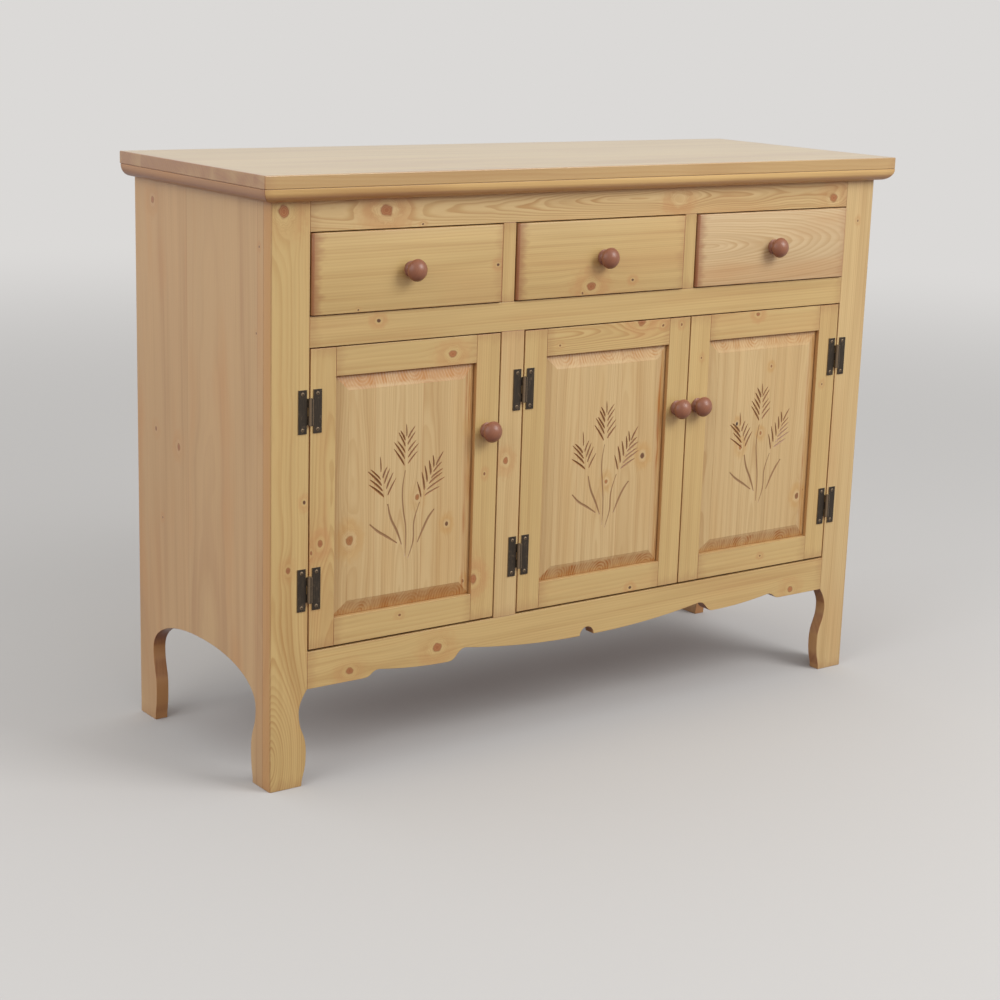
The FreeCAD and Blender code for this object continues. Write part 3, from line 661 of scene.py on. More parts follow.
def knot_group():
    """One knot: it bends the grain round itself and says how near and how dark it is."""
    inputs = [("Place", "V"), ("Across", "F"), ("Along", "F"), ("Size", "F"), ("Own dark", "F")]
    inputs += [("Near", "F"), ("Dark", "F")]
    group, w, given, out = open_group("Pine knot", inputs, [("Place", "V"), ("Near", "F"), ("Dark", "F")])
    across, deep, along = w.apart(given["Place"])
    off = w.minus(across, given["Across"])
    away = w.minus(along, given["Along"])
    side = w.over(off, given["Size"])
    lift = w.over(away, given["Size"])
    oval = w.length(side, w.times(lift, 0.78), 0.0)
    ragged = w.noise(given["Place"], (160.0, 160.0, 130.0), 1.0)
    distance = w.times(oval, w.times_plus(ragged, 0.7, 0.65))
    spread = w.length(w.times(side, 0.8), w.times(lift, 0.34), 0.0)
    pull = w.math("EXPONENT", w.times(spread, spread, -0.2))
    bent = w.times_plus(w.times(off, pull), -0.92, across)
    swell = w.times_plus(w.times(given["Size"], pull), 1.1, deep)
    closer = w.math("LESS_THAN", distance, given["Near"])
    change = w.minus(given["Own dark"], given["Dark"])
    w.feed(out["Place"], w.together(bent, swell, along))
    w.feed(out["Near"], w.math("MINIMUM", distance, given["Near"]))
    w.feed(out["Dark"], w.times_plus(closer, change, given["Dark"]))
    return group


def timber_group():
    """Sawn pine: growth rings round an offset heart, fibres, tone, knots, stained end grain."""
    kinds = (
        ("V", ("Place", "Facing")),
        ("F", ("Near", "Dark", "Seed", "Plank", "Heart side", "Heart depth", "Rise", "Ring", "Wave")),
        ("F", ("Contrast", "Warmth", "Level", "Variety")),
        ("C", ("Early", "Late", "Warm", "Knot", "Pitch", "Stain")),
        ("F", ("Half length", "Soak start", "Soak end", "Edge", "Edge face", "End grain")),
    )
    inputs = [(label, kind) for kind, labels in kinds for label in labels]
    outputs = [("Colour", "C"), ("Roughness", "F"), ("Height", "F")]
    group, w, given, out = open_group("Sawn pine", inputs, outputs)
    across, deep, along = w.apart(given["Place"])
    plank = w.math("FLOOR", w.plus(w.over(across, given["Plank"]), 0.5))
    other = w.math("MINIMUM", w.math("ABSOLUTE", plank), 1.0)
    luck = w.apart(w.chance(w.plus(w.times(plank, 7.3), given["Seed"])))
    inner = w.minus(across, w.times(plank, given["Plank"]))
    shift = w.times_plus(given["Seed"], 0.37, w.times(luck[2], 5.0))
    spot = w.together(w.plus(inner, shift), deep, w.plus(along, shift))
    # growth rings
    slow = w.minus(w.noise(spot, (7.0, 7.0, 4.0), 1.0), 0.5)
    quick = w.minus(w.noise(spot, (34.0, 34.0, 9.0), 2.0), 0.5)
    roam = w.times(w.minus(luck[0], 0.5), w.times(other, given["Plank"]))
    heart_side = w.plus(given["Heart side"], roam)
    heart_depth = w.times(given["Heart depth"], w.times_plus(luck[1], other, 1.0))
    sway = w.times(given["Wave"], w.times_plus(quick, 0.45, slow))
    slant = w.math("SMOOTH_MIN", along, given["Level"], 0.08)
    fade = w.ramp(w.minus(along, slant), 0.0, 0.3, 1.0, 0.5)
    contrast = w.times(given["Contrast"], fade)
    depth = w.plus(w.plus(heart_depth, deep), w.times(slant, given["Rise"]))
    depth = w.times_plus(sway, 2.0, depth)
    width = w.plus(w.minus(inner, heart_side), sway)
    rings = w.over(w.length(width, depth, 0.0), given["Ring"])
    rings = w.times_plus(quick, 0.25, rings)
    year = w.apart(w.chance(w.math("FLOOR", rings)))[0]
    late = w.times(w.lines(rings, 0.25, 0.86), w.times_plus(year, 0.75, 0.25))
    # fibres and tone
    fibre = w.noise(spot, (950.0, 950.0, 16.0), 2.0, 0.6)
    streak = w.noise(spot, (210.0, 210.0, 3.5), 2.0, 0.55)
    tone = w.noise(spot, (17.0, 17.0, 3.2), 2.0, 0.5)
    cloud = w.noise(spot, (5.0, 5.0, 2.2), 1.0)
    bands = w.noise(w.together(rings, 0.0, along), (0.32, 1.0, 1.6), 2.0, 0.6)
    colour = w.mix(w.times(late, contrast), given["Early"], given["Late"])
    colour = w.mix(w.ramp(bands, 0.45, 0.8, 0.0, 0.4), colour, given["Late"])
    warm = w.times(w.ramp(tone, 0.48, 0.75), given["Warmth"])
    own = w.times(luck[1], other, given["Variety"])
    colour = w.mix(w.plus(own, warm), colour, given["Warm"])
    colour = w.mix(w.ramp(streak, 0.52, 0.8, 0.0, 0.24), colour, given["Late"])
    shade = w.times(
        w.times_plus(fibre, 0.12, 0.94),
        w.times_plus(cloud, 0.16, 0.92),
        w.times_plus(bands, -0.16, 1.08),
    )
    colour = w.shaded(colour, shade)
    # seams between planks
    half_plank = w.times(given["Plank"], 0.5)
    seam = w.math("ABSOLUTE", w.minus(w.math("ABSOLUTE", inner), half_plank))
    colour = w.mix(w.ramp(seam, mm(0.2), mm(1.1), 0.35, 0.0), colour, given["Stain"])
    # knots
    near_by = given["Near"]
    inside = w.times(w.ramp(near_by, 0.72, 1.2, 1.0, 0.0), w.ramp(given["Dark"], -0.6, -0.1))
    halo = w.times(w.ramp(near_by, 1.0, 1.3), w.ramp(near_by, 1.5, 2.6, 1.0, 0.0))
    glow = w.times(
        w.ramp(near_by, 1.2, 2.4), w.ramp(near_by, 3.0, 5.5, 1.0, 0.0), w.ramp(tone, 0.3, 0.6, 0.1, 0.5),
    )
    colour = w.mix(glow, colour, given["Warm"])
    turns = w.times_plus(quick, 1.5, w.times(near_by, 2.6))
    eddy = w.times(
        w.ramp(w.math("FRACT", turns), 0.2, 0.9),
        w.ramp(near_by, 1.2, 1.5), w.ramp(near_by, 1.6, 3.4, 0.42, 0.0),
    )
    colour = w.mix(eddy, colour, given["Late"])
    paler = w.vector("MULTIPLY", given["Early"], (1.14, 1.16, 1.22))
    colour = w.mix(w.times(halo, 0.26), colour, paler)
    wheel = w.math("FRACT", w.times(near_by, 3.4))
    heart = w.mix(w.ramp(wheel, 0.3, 1.0, 0.4, 1.0), given["Warm"], given["Knot"])
    heart = w.mix(w.ramp(near_by, 0.0, 0.4, 0.75, 0.0), heart, given["Knot"])
    edge = w.times(w.ramp(near_by, 0.55, 0.85), w.ramp(near_by, 0.95, 1.2, 0.28, 0.1))
    heart = w.mix(w.larger(edge, given["Dark"]), heart, given["Pitch"])
    colour = w.mix(inside, colour, heart)
    # edges of the board, end grain and eased edges
    sides = w.apart(w.vector("ABSOLUTE", given["Facing"]))
    edge_face = w.times(w.ramp(sides[0], 0.85, 0.98), given["Edge face"])
    colour = w.mix(edge_face, colour, given["Warm"])
    end = w.times(w.ramp(sides[2], 0.1, 0.24), w.ramp(tone, 0.34, 0.58, 0.3, 0.82), given["End grain"])
    eased = w.ramp(w.larger(*sides), 0.8, 0.97, 1.0, 0.0)
    cloudy = w.noise(spot, (60.0, 60.0, 60.0), 2.0)
    pale_end = w.mix(w.times_plus(cloudy, 0.6, 0.15), given["Warm"], given["Stain"])
    end_grain = w.mix(w.times(late, 0.8), pale_end, given["Stain"])
    colour = w.mix(end, colour, end_grain)
    colour = w.mix(w.times(eased, given["Edge"]), colour, given["Stain"])
    # stain drawn in at the two ends of the board
    reach = w.times_plus(w.noise(spot, (110.0, 110.0, 40.0), 2.0), mm(44.0), mm(-2.0))
    for sign, strength in ((1.0, given["Soak start"]), (-1.0, given["Soak end"])):
        from_end = w.over(w.times_plus(along, sign, given["Half length"]), reach)
        colour = w.mix(w.times(w.ramp(from_end, 0.0, 1.0, 1.0, 0.0), strength), colour, given["Stain"])
    w.feed(out["Colour"], colour)
    rough = w.times_plus(fibre, 0.1, 0.33)
    w.feed(out["Roughness"], w.times_plus(w.larger(late, inside), -0.05, rough))
    relief = w.times_plus(late, 0.35, w.times(fibre, 0.4))
    w.feed(out["Height"], w.times_plus(inside, 0.4, relief))
    return group


def new_finish(name):
    """An empty material: its wiring and its shader."""
    material = bpy.data.materials.new(name)
    material.use_nodes = True
    tree = material.node_tree
    tree.nodes.clear()
    w = Wiring(tree)
    shader = w.add("ShaderNodeBsdfPrincipled")
    out = w.add("ShaderNodeOutputMaterial")
    w.feed(out.inputs["Surface"], shader.outputs["BSDF"])
    return material, w, shader


def relief(w, shader, height, strength, depth):
    """Raise or sink the surface by a small height."""
    bump = w.add("ShaderNodeBump")
    for label, value in (("Strength", strength), ("Distance", depth), ("Height", height)):
        w.feed(bump.inputs[label], value)
    w.feed(shader.inputs["Normal"], bump.outputs[0])


# How each board was cut: side and depth of the heart, rise of the rings along the board,
# width of a ring and waviness in millimetres, contrast of the rings, warmth of the tone,
# and the height over the middle of the board from which the rings run straight and fade
CUTS = {
    "straight": (150.0, 70.0, 0.02, 3.8, 5.0, 0.34, 0.3, 9000.0),
    "fine": (230.0, 60.0, 0.01, 2.9, 4.0, 0.28, 0.25, 9000.0),
    "slash": (8.0, 24.0, 0.05, 2.8, 10.0, 0.7, 0.4, 9000.0),
    "cathedral": (-4.0, 16.0, -0.05, 2.5, 10.0, 0.74, 0.4, 9000.0),
    "foot": (-30.0, 144.0, 0.36, 3.3, 4.0, 0.62, 0.4, -236.0),
    "arrow": (6.0, 30.0, 0.14, 3.4, 6.0, 0.46, 0.45, 9000.0),
    "swirl": (12.0, 46.0, 0.11, 3.6, 9.0, 0.55, 0.45, -30.0),
    "faint": (60.0, 60.0, 0.02, 5.5, 8.0, 0.26, 0.3, 9000.0),
    "side": (40.0, 90.0, 0.03, 5.0, 10.0, 0.14, 0.6, 9000.0),
    "stave": (4.0, 27.0, 0.012, 2.0, 4.0, 0.42, 0.22, 9000.0),
}

# What a board is glued up from: width of a plank, and how far its middle is shifted, in millimetres
PLANKS = {
    "whole": (4000.0, 0.0),
    "top": (108.0, 20.0),
    "panel": (79.0, 12.0),
    "side": (200.0, 72.0),
    "inside": (120.0, 0.0),
}

# Nearness and darkness of a knot where there is none
NO_KNOT = (99.0, 0.0)


def pine(
    name, low, high, grain, face, cut="straight", knots=(), planks="whole",
    coat=0.2, coat_roughness=0.3, **changes,
):
    """A pine finish for one board: its two corners, and the axes of its grain and of its face."""
    tint = bpy.context.scene.finish_colours
    groups = bpy.data.node_groups
    knot_nodes = groups.get("Pine knot") or knot_group()
    timber_nodes = groups.get("Sawn pine") or timber_group()
    material, w, shader = new_finish(name)
    plank, shift = mm(*PLANKS[planks])
    width_axis = 3 - grain - face
    order = (width_axis, face, grain)
    turned = []
    for kind in ("Object", "Normal"):
        parts = w.apart(w.place(kind))
        turned.append(w.together(*[parts[axis] for axis in order]))
    middle = (Vector(low) + Vector(high)) / 2
    mapping = w.add("ShaderNodeMapping")
    w.feed(mapping.inputs["Vector"], turned[0])
    mapping.inputs["Location"].default_value = [-middle[axis] for axis in order]
    mapping.inputs["Location"].default_value[0] += shift
    place = mapping.outputs[0]
    near_by, dark = NO_KNOT
    for first, second, radius, darkness in knots:
        share = dict(zip(sorted((width_axis, grain)), (first, second)))
        across, along = [(share[axis] - 0.5) * (high[axis] - low[axis]) for axis in (width_axis, grain)]
        knot = w.add("ShaderNodeGroup", node_tree=knot_nodes)
        values = (place, across + shift, along, mm(radius), darkness, near_by, dark)
        for socket, value in zip(knot.inputs, values):
            w.feed(socket, value)
        place, near_by, dark = knot.outputs[:3]
    side, depth, rise, ring, wave, contrast, warmth, level = CUTS[cut]
    values = {
        "Place": place, "Facing": turned[1], "Near": near_by, "Dark": dark,
        "Seed": random.Random(name).uniform(0.0, 40.0), "Plank": plank,
        "Heart side": mm(side), "Heart depth": mm(depth), "Rise": rise, "Ring": mm(ring),
        "Wave": mm(wave), "Contrast": contrast, "Warmth": warmth, "Level": mm(level),
        "Early": tint.early, "Late": tint.late, "Warm": tint.warm,
        "Knot": tint.knot, "Pitch": tint.pitch, "Stain": tint.stain,
        "Half length": (high[grain] - low[grain]) / 2, "Soak start": 0.25, "Soak end": 0.2,
        "Edge": 0.45, "Variety": 0.12, "Edge face": 0.3, "End grain": 1.0,
    }
    values.update({label.replace("_", " "): value for label, value in changes.items()})
    timber = w.add("ShaderNodeGroup", node_tree=timber_nodes)
    for label, value in values.items():
        w.feed(timber.inputs[label], value)
    w.feed(shader.inputs["Base Color"], timber.outputs["Colour"])
    w.feed(shader.inputs["Roughness"], timber.outputs["Roughness"])
    w.feed(shader.inputs["Coat Weight"], coat)
    w.feed(shader.inputs["Coat Roughness"], coat_roughness)
    relief(w, shader, timber.outputs["Height"], 0.35, mm(0.2))
    return material


def carved_pine(name, low, high, knots, doors, top_stain):
    """The pine of a carved panel, with stain in the cuts, on the bevels and in the corner round them, and
    painted shade on the bevels that face down.
    """
    tint = bpy.context.scene.finish_colours
    material = pine(
        name, low, high, UP, DEEP, "stave", knots, "panel",
        Early=tint.panel, Warm=tint.panel_warm, Stain=tint.bevel, End_grain=0.2 + 0.3 * top_stain,
    )
    shader = material.node_tree.nodes["Principled BSDF"]
    surface = shader.inputs["Base Color"].links[0].from_socket
    w = Wiring(material.node_tree)
    place = w.place()
    spot, facing = w.apart(place), w.apart(w.place("Normal"))
    middle = (Vector(low) + Vector(high)) / 2
    field = low[DEEP]
    bevel_foot = field + doors.bevel_rise + doors.field_step
    # carved lines in the field, and the corner between the bevels and the frame
    front = w.math("LESS_THAN", spot[DEEP], bevel_foot + mm(0.3))
    sunk = w.times(front, w.ramp(spot[DEEP], field + mm(0.03), field + mm(0.45)))
    corners = []
    for axis in (ACROSS, UP):
        away = w.math("ABSOLUTE", w.minus(spot[axis], middle[axis]))
        seen = (high[axis] - low[axis]) / 2 - doors.tongue
        sunk = w.times(sunk, w.math("LESS_THAN", away, seen - doors.bevel_width))
        corners.append(w.ramp(away, seen - mm(2.4), seen - mm(0.6)))
    corner = w.times(w.larger(*corners), 0.4, front)
    # growth rings that the bevels cut across, in flat arcs round the heart of each stave
    stave, shift = mm(*PLANKS["panel"])
    ring, flatness = mm(4.6), 3.4
    across = w.plus(spot[ACROSS], shift - middle[ACROSS])
    number = w.math("FLOOR", w.plus(w.over(across, stave), 0.5))
    luck = w.apart(w.chance(w.plus(number, 10.0 * middle[ACROSS])))
    heart = w.times(w.minus(luck[0], 0.5), 0.7 * stave)
    aside = w.minus(w.minus(across, w.times(number, stave)), heart)
    under = w.minus(spot[DEEP], w.times_plus(luck[1], mm(2.5), field + mm(4.8)))
    radius = w.length(aside, w.times(under, flatness), 0.0)
    wander = w.times(w.noise(place, (32.0, 32.0, 8.0), 2.0), mm(7.0))
    arcs = w.lines(w.over(w.plus(radius, wander), ring), 0.15, 0.75, 0.85)
    # stain on the bevels: in patches and darker in the arcs; beyond that the bevels are darkened by the way
    # they face: painted shade as well as stain on those that face down, and darker also on those that face
    # right
    patches = w.ramp(w.noise(place, (60.0, 60.0, 14.0), 2.0), 0.42, 0.72)
    slope = w.times(
        w.ramp(spot[DEEP], field + mm(0.6), field + mm(2.0)), front, w.minus(1.0, sunk),
        w.times_plus(patches, 0.5, 0.28), w.times_plus(arcs, 1.15, 0.45),
    )
    # painted shade and stain: the bevels that face down take the dark bevel colour, and those that face
    # right are darkened too
    lower = w.larger(
        w.ramp(facing[UP], -0.2, -0.05, 1.0, 0.0), w.ramp(facing[ACROSS], 0.05, 0.2, 0.12, 0.7),
    )
    upper = w.times(
        w.ramp(facing[UP], 0.05, 0.2), w.times_plus(arcs, 0.6 - 0.6 * top_stain, top_stain - 0.1),
    )
    surface = w.mix(w.times(slope, lower), surface, tint.bevel)
    surface = w.mix(w.times(slope, upper), surface, tint.bevel_top)
    surface = w.mix(corner, surface, tint.stain)
    w.feed(shader.inputs["Base Color"], w.mix(w.times(sunk, 0.76), surface, tint.carving))
    return material


def turned_wood(name, centre):
    """The rosy wood of one turned knob, its grain along the axis that it was turned on."""
    tint = bpy.context.scene.finish_colours
    reach = Vector(mm(20.0, 20.0, 20.0))
    return pine(
        name, centre - reach, centre + reach, DEEP, UP, coat=0.08, coat_roughness=0.4,
        Early=tint.knob, Late=tint.knob_late, Warm=tint.knob, Stain=tint.knob_late,
        Ring=mm(2.6), Warmth=0.0,
    )


def unfinished(name, node, grain, face, planks, **figure):
    """Sanded wood without lacquer, for a part inside."""
    tint = bpy.context.scene.finish_colours
    return pine(
        name, *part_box(node), grain, face, "faint", (), planks, coat=0.0,
        Early=tint.bare, Late=tint.bare_late, **figure,
    )


def dark_bronze():
    """Satin bronze paint, rubbed lighter in places, with painted highlight on the barrel, the screw heads
    and the edges.
    """
    tint = bpy.context.scene.finish_colours
    material, w, shader = new_finish("Dark bronze")
    place = w.place()
    brushed = w.noise(place, (2600.0, 2600.0, 60.0), 2.0)
    rubbed = w.noise(place, (170.0, 170.0, 120.0), 3.0, 0.65)
    # painted highlight and wear: every face that doesn't face the front or back (the barrel, the rims of
    # the screw heads and the edges) is made lighter
    facing = w.math("ABSOLUTE", w.apart(w.place("Normal"))[DEEP])
    colour = w.mix(w.ramp(rubbed, 0.55, 0.8, 0.0, 0.4), tint.bronze, tint.bronze_wear_and_highlight)
    colour = w.mix(w.ramp(facing, 0.9, 0.995, 0.8, 0.0), colour, tint.bronze_wear_and_highlight)
    colour = w.mix(w.ramp(brushed, 0.5, 0.75, 0.0, 0.3), colour, tint.bronze_wear_and_highlight)
    w.feed(shader.inputs["Base Color"], colour)
    w.feed(shader.inputs["Roughness"], w.times_plus(rubbed, 0.25, 0.32))
    w.feed(shader.inputs["Metallic"], 0.55)
    relief(w, shader, w.plus(brushed, rubbed), 0.4, mm(0.1))
    return material


def bright_steel():
    """Bright zinc-plated steel with faint brush marks."""
    steel = bpy.context.scene.finish_colours.steel
    material, w, shader = new_finish("Bright steel")
    brushed = w.noise(w.place(), (40.0, 1800.0, 1800.0), 2.0)
    w.feed(shader.inputs["Base Color"], w.shaded(steel[:3], w.times_plus(brushed, 0.25, 0.85)))
    w.feed(shader.inputs["Roughness"], w.times_plus(brushed, 0.2, 0.25))
    w.feed(shader.inputs["Metallic"], 1.0)
    relief(w, shader, brushed, 0.2, mm(0.05))
    return material


def catch_plastic():
    """Brown moulded plastic with a fine, even grit."""
    plastic = bpy.context.scene.finish_colours.catch
    material, w, shader = new_finish("Catch plastic")
    grit = w.noise(w.place(), (1500.0, 1500.0, 1500.0), 2.0, 0.6)
    w.feed(shader.inputs["Base Color"], w.shaded(plastic[:3], w.times_plus(grit, 0.2, 0.9)))
    w.feed(shader.inputs["Roughness"], w.times_plus(grit, 0.2, 0.4))
    relief(w, shader, grit, 0.3, mm(0.06))
    return material


# The knots of each board: shares of its width and height (of its depth and height on a side),
# radius in millimetres, darkness
KNOTS = {
    "left_face_stile": (
        (0.32, 0.963, 7.8, 0.1), (0.89, 0.491, 2.4, 0.8), (0.47, 0.38, 3.4, 0.3),
    ),
    "right_face_stile": ((0.47, 0.901, 1.6, 0.6),),
    "upper_rail": (
        (0.12, 0.419, 8.0, 0.15), (0.18, 0.1, 1.4, 0.7), (0.645, 0.4, 6.0, -1.0), (0.97, 0.246, 6.3, 0.1),
    ),
    "middle_rail_board": ((0.11, 0.705, 2.7, 0.85),),
    "scalloped_apron": ((0.22, 0.472, 6.5, 0.1), (0.07, 0.278, 4.9, 0.2), (0.93, 0.187, 4.9, 0.0)),
    "front_mullion": ((0.33, 0.555, 4.3, 0.1),),
    "left_door_hinge_stile": ((0.42, 0.355, 4.1, 0.2), (0.13, 0.329, 2.7, 0.3)),
    "left_door_lock_stile": ((0.46, 0.518, 1.9, 0.5), (0.1, 0.149, 5.8, 0.1)),
    "left_door_lower_rail": ((0.47, 0.688, 1.8, 0.5),),
    "left_door_upper_rail": ((0.82, 0.403, 5.6, 0.1),),
    "left_door_panel": (
        (0.13, 0.324, 5.5, 0.2), (0.58, 0.461, 3.5, 0.2), (0.79, 0.334, 2.8, 0.75), (0.92, 0.079, 2.2, 0.7),
    ),
    "middle_door_upper_rail": ((0.76, 0.963, 6.0, 0.2), (0.94, 0.81, 1.8, 0.6), (0.1, 0.353, 1.7, 0.5)),
    "middle_door_lock_stile": ((0.57, 0.974, 1.8, 0.5),),
    "middle_door_panel": ((0.8, 0.507, 3.8, 0.75), (0.52, 0.415, 3.0, 0.1)),
    "middle_door_lower_rail": ((0.76, 0.158, 2.3, 0.85),),
    "right_door_upper_rail": ((0.42, 0.868, 3.1, 0.2),),
    "right_door_panel": (
        (0.57, 0.838, 1.9, 0.4), (0.3, 0.594, 2.4, 1.0), (0.34, 0.486, 3.1, 0.0), (0.51, 0.538, 2.4, 0.2),
        (0.87, 0.219, 4.0, 0.5), (0.93, 0.241, 1.6, 0.4),
    ),
    "right_door_hinge_stile": ((0.35, 0.694, 1.6, 0.6),),
    "right_door_lock_stile": ((0.6, 0.845, 1.5, 0.5),),
    "right_door_lower_rail": ((0.57, 0.5, 1.6, 0.5),),
    "left_drawer_front": ((0.97, 0.486, 2.1, 0.9), (0.23, 0.033, 1.3, 0.7)),
    "middle_drawer_front": ((0.43, 0.115, 6.5, 0.2), (0.68, 0.167, 1.9, 0.8), (0.38, 0.086, 1.4, 0.6)),
    "left_side": (
        (0.85, 0.944, 4.3, 0.1), (0.84, 0.545, 2.9, 0.4), (0.65, 0.528, 4.3, 0.2), (0.79, 0.389, 1.5, 0.6),
        (0.03, 0.905, 1.3, 0.7), (0.05, 0.766, 1.3, 0.7),
    ),
}

# The carved sprig, in millimetres from the middle of a panel. An ear: its foot and its top, then the
# lengths and the leans in degrees of its grains on the left and on the right, from the foot up, and
# the two ends of its beard
EARS = (
    ((0.5, 34.0), (0.5, 70.0), ((27, -37), (28, -35), (20, -34), (20, -31), (16, -29)),
     ((21, 43), (22, 42), (16, 39), (20, 36), (17, 34)), (0.8, 75.0, 0.2, 94.0)),
    ((-32.5, -7.0), (-39.5, 18.0), ((28, -53), (24, -47), (27, -43), (20, -44)),
     ((23, 31), (23, 26), (19, 23), (16, 20)), (-41.8, 29.0, -43.2, 52.0)),
    ((29.0, -15.0), (48.5, 26.0), ((23, -14), (24, -10), (21, -8), (19, -6), (15, -6)),
     ((26, 65), (29, 62), (24, 59), (21, 56), (17, 48), (21, 32)), None),
)
STEMS = (
    ((-1.0, 27.0), (-5.0, 2.0), (-2.5, -30.0), (1.0, -55.0), (0.6, -97.0)),
    ((24.0, -21.0), (15.0, -48.0), (13.8, -76.0), (5.8, -101.0)),
)
LEAVES = (
    ((-29.5, -18.0), (-24.0, -39.0), (-13.0, -60.0), (-5.2, -80.0)),
    ((-59.0, -43.5), (-46.0, -55.0), (-30.0, -65.0), (-12.6, -76.3)),
    ((49.0, -34.0), (40.0, -45.0), (31.0, -60.0), (21.4, -80.0)),
)

# Each carved panel: its door, the number that starts the small slips of the hand, stain on its top bevel
PANELS = (("left_door", 11, 1.7), ("middle_door", 12, 0.3), ("right_door", 13, 0.3))


# Building the pieces


class SIDEBOARD_OT_top(bpy.types.Operator):
    """Lay the glued-up top, and mitre a quarter-round moulding under it along the front and both sides"""

    bl_idname = "sideboard.top"
    bl_label = "Top and moulding"

    def execute(self, context):
        sizes, shape = context.scene.sideboard_sizes, context.scene.moulding_sizes
        tint = context.scene.finish_colours
        low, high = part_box("top_board")
        board = add_board("top", low, high)
        ease(board, sizes.top_arris, 3)
        lumber = pine(
            "Pine of the top", low, high, ACROSS, UP, "faint", planks="top", coat=1.0,
            Warm=tint.late, Edge_face=0.42,
        )
        finish(board, "cabinet", "top_board", lumber)
        body, face, top = sizes.half_body, sizes.face, sizes.top_underside
        quarter = arc((shape.reach - shape.radius, -shape.quirk), shape.radius, 0.0, -math.pi / 2, 10)
        profile = [
            (0.0, 0.0), (shape.reach, 0.0), (shape.reach, -shape.quirk), *quarter, (0.0, -shape.height),
        ]
        end = body + shape.reach
        front_line = [(-end, face - out, top + down) for out, down in profile]
        front = trace_outline("front_moulding", front_line, (2 * end, 0.0, 0.0))
        for side in (-1, 1):
            saw(front, (side * body, face, top), (side, 1.0, 0.0))
        front_edge = face - shape.reach
        left_line = [(-body - out, front_edge, top + down) for out, down in profile]
        left = trace_outline("left_moulding", left_line, (0.0, sizes.carcase_back - front_edge, 0.0))
        saw(left, (-body, face, top), (1.0, -1.0, 0.0))
        right = copy_of(left, "right_moulding", mirror=ACROSS)
        # the front moulding takes the paler colour as painted light, and the side mouldings take the
        # browner one as stain and painted shade
        for piece, grain, shade in (
            (front, ACROSS, tint.front_moulding), (left, DEEP, tint.moulding), (right, DEEP, tint.moulding),
        ):
            ease(piece, shape.arris)
            lumber = pine(
                f"Pine of {piece.name}", *corners_of(piece), grain, UP,
                Early=shade, Warmth=0.4, Edge_face=0.0,
            )
            finish(piece, "cabinet", "top_moulding", lumber)
        return {"FINISHED"}


class SIDEBOARD_OT_sides(bpy.types.Operator):
    """Cut the two side boards with the arch between their feet, housed and rebated for what they carry"""

    bl_idname = "sideboard.sides"
    bl_label = "Sides"

    def outline(self, sizes, feet):
        """The outline of a side, round from the floor at its front edge."""
        front, back = sizes.face, sizes.carcase_back
        x = -sizes.half_body

        def at(y, z):
            return Vector((x, y, z))

        points = [at(sizes.frame_back, 0.0)]
        heights = (feet.arch_spring, feet.belly_height)
        for upper_foot in swelling(feet.side_neck, feet.side_belly, feet.side_floor, *heights)[::-1]:
            poles = [at(front + width, z) for width, z in upper_foot[::-1]]
            if len(points) == 1:
                points.append(poles[0])
            points += sweep(poles, 8)
        near_end, far_end = front + feet.side_neck, back - feet.rear_neck
        middle, half = (near_end + far_end) / 2, (far_end - near_end) / 2
        fullness, steps = feet.arch_fullness, 28
        for step in range(1, steps + 1):
            reach = math.cos(math.pi * (1 - step / steps))
            lift = (1 - min(abs(reach), 1.0) ** fullness) ** (1 / fullness)
            points.append(at(middle + half * reach, feet.arch_spring + feet.arch_rise * lift))
        for foot in swelling(feet.rear_neck, feet.rear_belly, feet.side_floor, *heights):
            points += sweep([at(back - width, z) for width, z in foot], 8)
        top = sizes.top_underside
        return points + [at(back, 0.0), at(back, top), at(sizes.frame_back, top)]

    def execute(self, context):
        sizes, feet = context.scene.sideboard_sizes, context.scene.feet_sizes
        tint = context.scene.finish_colours
        outline = self.outline(sizes, feet)
        left = trace_outline("left_side", outline, (sizes.half_body - sizes.half_inside, 0.0, 0.0))
        past, over = mm(2.0, 1.0)  # recesses are cut past the faces that they open into
        inner = past - sizes.half_inside
        for node, behind in (("bottom_board", 0.0), ("back_panel", past)):
            low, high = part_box(node)
            cut_box(left, low, (inner, high.y + behind, high.z))
        housing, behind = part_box("back_rails")[0].x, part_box("back_panel")[0].y + over
        for low_level, high_level in (
            (sizes.door_top, sizes.drawer_bottom), (sizes.drawer_top, sizes.top_underside + over),
        ):
            cut_box(left, (housing, sizes.back_rail, low_level), (inner, behind, high_level))
        right = copy_of(left, "right_side", mirror=ACROSS)
        for piece, node in ((left, "side_panel_left"), (right, "side_panel_right")):
            ease(piece, sizes.arris)
            knots = KNOTS.get(piece.name, ())
            # the side colours carry painted shade as well as the pine's own tone
            lumber = pine(
                f"Pine of {piece.name}", *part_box(node), UP, ACROSS, "side", knots, "side", coat=0.35,
                Early=tint.side, Late=tint.side_late, Variety=1.0, Edge_face=1.0,
            )
            finish(piece, "cabinet", node, lumber)
        return {"FINISHED"}


